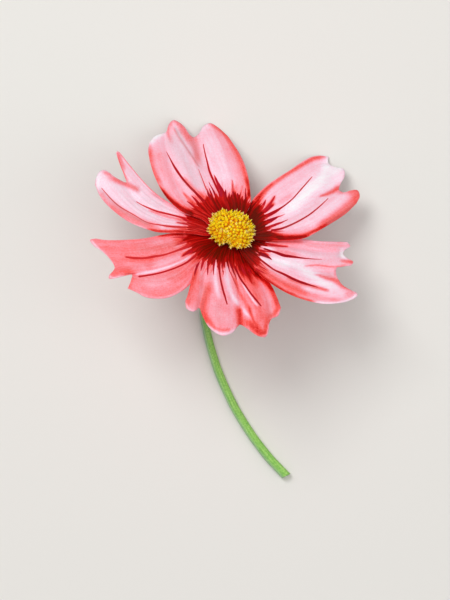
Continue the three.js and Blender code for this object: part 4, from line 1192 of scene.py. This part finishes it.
# The angles over which buds turn into open florets, and open florets into those of the rim.
opens = (10, 60)
rim_begins = (66, 86)
# How much the florets differ in lean, openness, length and width.
outward_spread = 0.25
sideways_spread = 0.3
openness_spread = 0.25
length_range = (0.65, 1.15)
width_range = (0.85, 1.15)
lobes = 5
points_per_lobe = 4
lobe_sharpness = 1.4
ridge_depth = 0.1
# Between its lobes an open floret draws in toward this half width and, by a share, this height.
sinus_width = 0.75
sinus_height = 0.5
sinus_depth = 0.8
# Where the crowd of florets reaches further or less far: azimuth, spread in degrees, and share.
crowd = [(184, 12, -0.18), (222, 24, 0.16), (152, 15, 0.09), (15, 18, -0.1), (45, 14, 0.04)]
# The rings of a floret: half width and height of a bud, then of an open floret, and how lobed it is.
floret_rings = [
    (0.50, -0.35, 0.50, -0.35, 0), (0.70, 0.15, 0.60, 0.15, 0), (0.90, 0.40, 0.80, 0.38, 0),
    (0.95, 0.58, 1.10, 0.50, 0.3), (0.86, 0.70, 2.00, 0.68, 1), (0.76, 0.74, 1.10, 0.55, 0.6),
    (0.62, 0.80, 0.50, 0.50, 0), (0.50, 0.92, 0.46, 0.78, 0), (0.30, 1.05, 0.42, 0.98, 0),
    (0.04, 1.20, 0.05, 1.25, 0),
]


def crowding(azimuth, angle):
    """The share by which the disc's reach grows at an azimuth, this far down its dome."""
    share = 1.0
    for middle, width, more in crowd:
        off = (azimuth - middle + 180) % 360 - 180
        share = share + more * np.exp(-((off / width) ** 2)) * np.sin(angle) ** 3
    return share


angles = np.radians(np.linspace(90, dome_top_angle, dome_rings))
profile = [(*place, 0) for place in disc_foot]
profile += [(dome_radius * math.sin(a), dome_base + dome_rise * math.cos(a), a) for a in angles]
radius, height, angle = np.array(profile).T[..., None]
around = np.arange(dome_sides) / dome_sides * 360
points = bloom_point(radius * crowding(around, angle), around, height).reshape(-1, 3)
zeros = np.zeros(len(points))
stored = {"rise": zeros, "lobe": zeros, "shade": zeros + 0.5, "rim": zeros}
parts = [(points, tube(len(profile), dome_sides), stored)]

draws = np.random.default_rng(11)
lowest = math.cos(math.radians(floret_last_angle))
ring_sides = lobes * points_per_lobe
turns = np.arange(ring_sides) / ring_sides * 2 * math.pi
pointed = (0.5 + 0.5 * np.cos(lobes * turns)) ** lobe_sharpness


def floret(i):
    """One floret, a bud or an open one, that stands on the dome."""
    angle = math.acos(1 - (1 - lowest) * (i + 0.5) / floret_count)
    azimuth = i * golden_angle % 360
    out = math.atan2(math.sin(angle) / dome_radius, math.cos(angle) / dome_rise)
    out += draws.normal(0, outward_spread)
    sideways = draws.normal(0, sideways_spread)
    openness = (math.degrees(angle) - opens[0]) / (opens[1] - opens[0]) + draws.normal(0, openness_spread)
    openness = float(np.clip(openness, 0, 1))
    length = floret_length * draws.uniform(*length_range)
    width = mixed(bud_half_width, open_half_width, openness) * draws.uniform(*width_range)
    spin = draws.uniform(0, 2 * math.pi)
    ridge = 1 + ridge_depth * (1 - openness) * np.cos(lobes * turns)
    local = []
    rise = []
    lobe = []
    for bud_size, bud_height, open_size, open_height, lobed in floret_rings:
        size = mixed(bud_size, open_size, openness)
        height = mixed(bud_height, open_height, openness)
        sinus = lobed * openness * (1 - pointed)
        half_width = width * ridge * mixed(size, sinus_width, sinus)
        level = length * mixed(height, sinus_height, sinus * sinus_depth)
        ring = (half_width * np.cos(turns + spin), half_width * np.sin(turns + spin), level)
        local.append(np.stack(ring, -1))
        rise.append(level / length)
        lobe.append(lobed * openness * pointed)
    local = np.concatenate(local)
    reach = dome_radius * math.sin(angle) * crowding(azimuth, angle)
    foot = bloom_point(reach, azimuth, dome_base + dome_rise * math.cos(angle))
    outward = bloom_point(1.0, azimuth, 0.0) - head
    beside = bloom_point(1.0, azimuth + 90.0, 0.0) - head
    up = axis * math.cos(out) + outward * math.sin(out) + beside * sideways
    up /= np.linalg.norm(up)
    one = np.cross(up, beside)
    one /= np.linalg.norm(one)
    other = np.cross(up, one)
    world = foot + local[:, :1] * one + local[:, 1:2] * other + local[:, 2:] * up
    stored = {
        "rise": np.concatenate(rise),
        "lobe": np.concatenate(lobe),
        "shade": np.full(len(world), draws.uniform(0, 1)),
        "rim": np.full(len(world), np.interp(math.degrees(angle), rim_begins, (0, 1))),
    }
    return world, tube(len(floret_rings), ring_sides), stored


gold = Finish("floret_gold", Roughness=0.75, Specular_IOR_Level=0.1, Sheen_Weight=0.05,
              Subsurface_Weight=0.4, Subsurface_Radius=(0.9 * mm, 0.55 * mm, 0.05 * mm))
rise = gold.stored("rise")
place = gold.place()
powder = gold.noise(place, 6, 3, 0.7)
patch = gold.noise(place, 0.55, 2)
# Each floret is deeper in colour low down, partly its own deeper base and partly painted shade in the
# crevices between florets. The tips of the rim florets are paler, partly their own colour and partly a
# painted highlight.
warmth = gold.stored("shade").swing(0.45) + patch.swing(1.0) + powder.swing(0.35) + (rise - 0.6) * 0.5
pale_rim_and_highlight = gold.stored("rim") * gold.between(rise, 0.45, 0.95)
warmth = warmth + gold.stored("lobe") * 0.12 + pale_rim_and_highlight * 0.55 + 0.5
colour = gold.ramp(warmth, [
    (0.0, linear(0.89, 0.52, 0.0)), (0.25, linear(0.99, 0.68, 0.0)), (0.45, linear(1.0, 0.81, 0.0)),
    (0.65, linear(1.0, 0.88, 0.06)), (0.82, linear(1.0, 0.87, 0.28)), (1.0, linear(1.0, 0.85, 0.52))])
gold.paint(colour, None, powder, 0.06)

parts += [floret(i) for i in range(floret_count)]
piece("disc", *gathered(parts), gold, "disc", ["disc"])


# ------------------------------------------------------------------------------------------------
# The table, the lights and the camera. The flower lies on a plain pale surface under soft light,
# and the camera looks straight down on it.

floor_half = 6.0
floor_drop = 0.0001
corners = [(x * floor_half, y * floor_half, 0) for x, y in ((-1, -1), (1, -1), (1, 1), (-1, 1))]
floor_mesh = bpy.data.meshes.new("floor")
floor_mesh.from_pydata(corners, [], [(0, 1, 2, 3)])
floor = bpy.data.objects.new("floor", floor_mesh)
bpy.context.scene.collection.objects.link(floor)
floor.location.z = -floor_drop
pale_floor = Finish("floor_pale", Roughness=0.9, Base_Color=linear(0.90, 0.89, 0.87))
floor_mesh.materials.append(pale_floor.material)

# Each light's place and width in metres, and its power in watts. They all face the origin.
lights = {
    "key": ((-0.35, 0.45, 0.9), 0.5, 5.75),
    "fill": ((0.6, -0.2, 0.7), 0.8, 1.7),
    "top": ((0.0, 0.0, 1.2), 1.0, 3.55),
}
for name, ((x, y, z), size, power) in lights.items():
    lamp = bpy.data.lights.new(name, "AREA")
    lamp.size = size
    lamp.energy = power
    lit = bpy.data.objects.new(name, lamp)
    lit.location = (x, y, z)
    lit.rotation_euler = (math.atan2(math.hypot(x, y), z), 0, math.atan2(-y, -x) - math.pi / 2)
    bpy.context.scene.collection.objects.link(lit)
room_light = 0.3
world = bpy.data.worlds.new("studio")
world.use_nodes = True
background = world.node_tree.nodes["Background"].inputs
background["Color"].default_value = (1, 1, 1, 1)
background["Strength"].default_value = room_light
bpy.context.scene.world = world
bpy.context.scene.view_settings.view_transform = "Standard"

# The view is this high at the level of the bloom, round a place below the disc.
frame_height = 0.156
frame_middle = (np.array([-1.82, -18.2, 0.0]) + to_origin) * mm
bloom_level = 0.025
camera_distance = 3.0
camera = bpy.data.cameras.new("camera")
camera.sensor_width = 36.0
camera.lens = camera.sensor_width * camera_distance / frame_height
camera.clip_end = 50.0
looking = bpy.data.objects.new("camera", camera)
looking.location = (frame_middle[0], frame_middle[1], bloom_level + camera_distance)
bpy.context.scene.collection.objects.link(looking)
bpy.context.scene.camera = looking
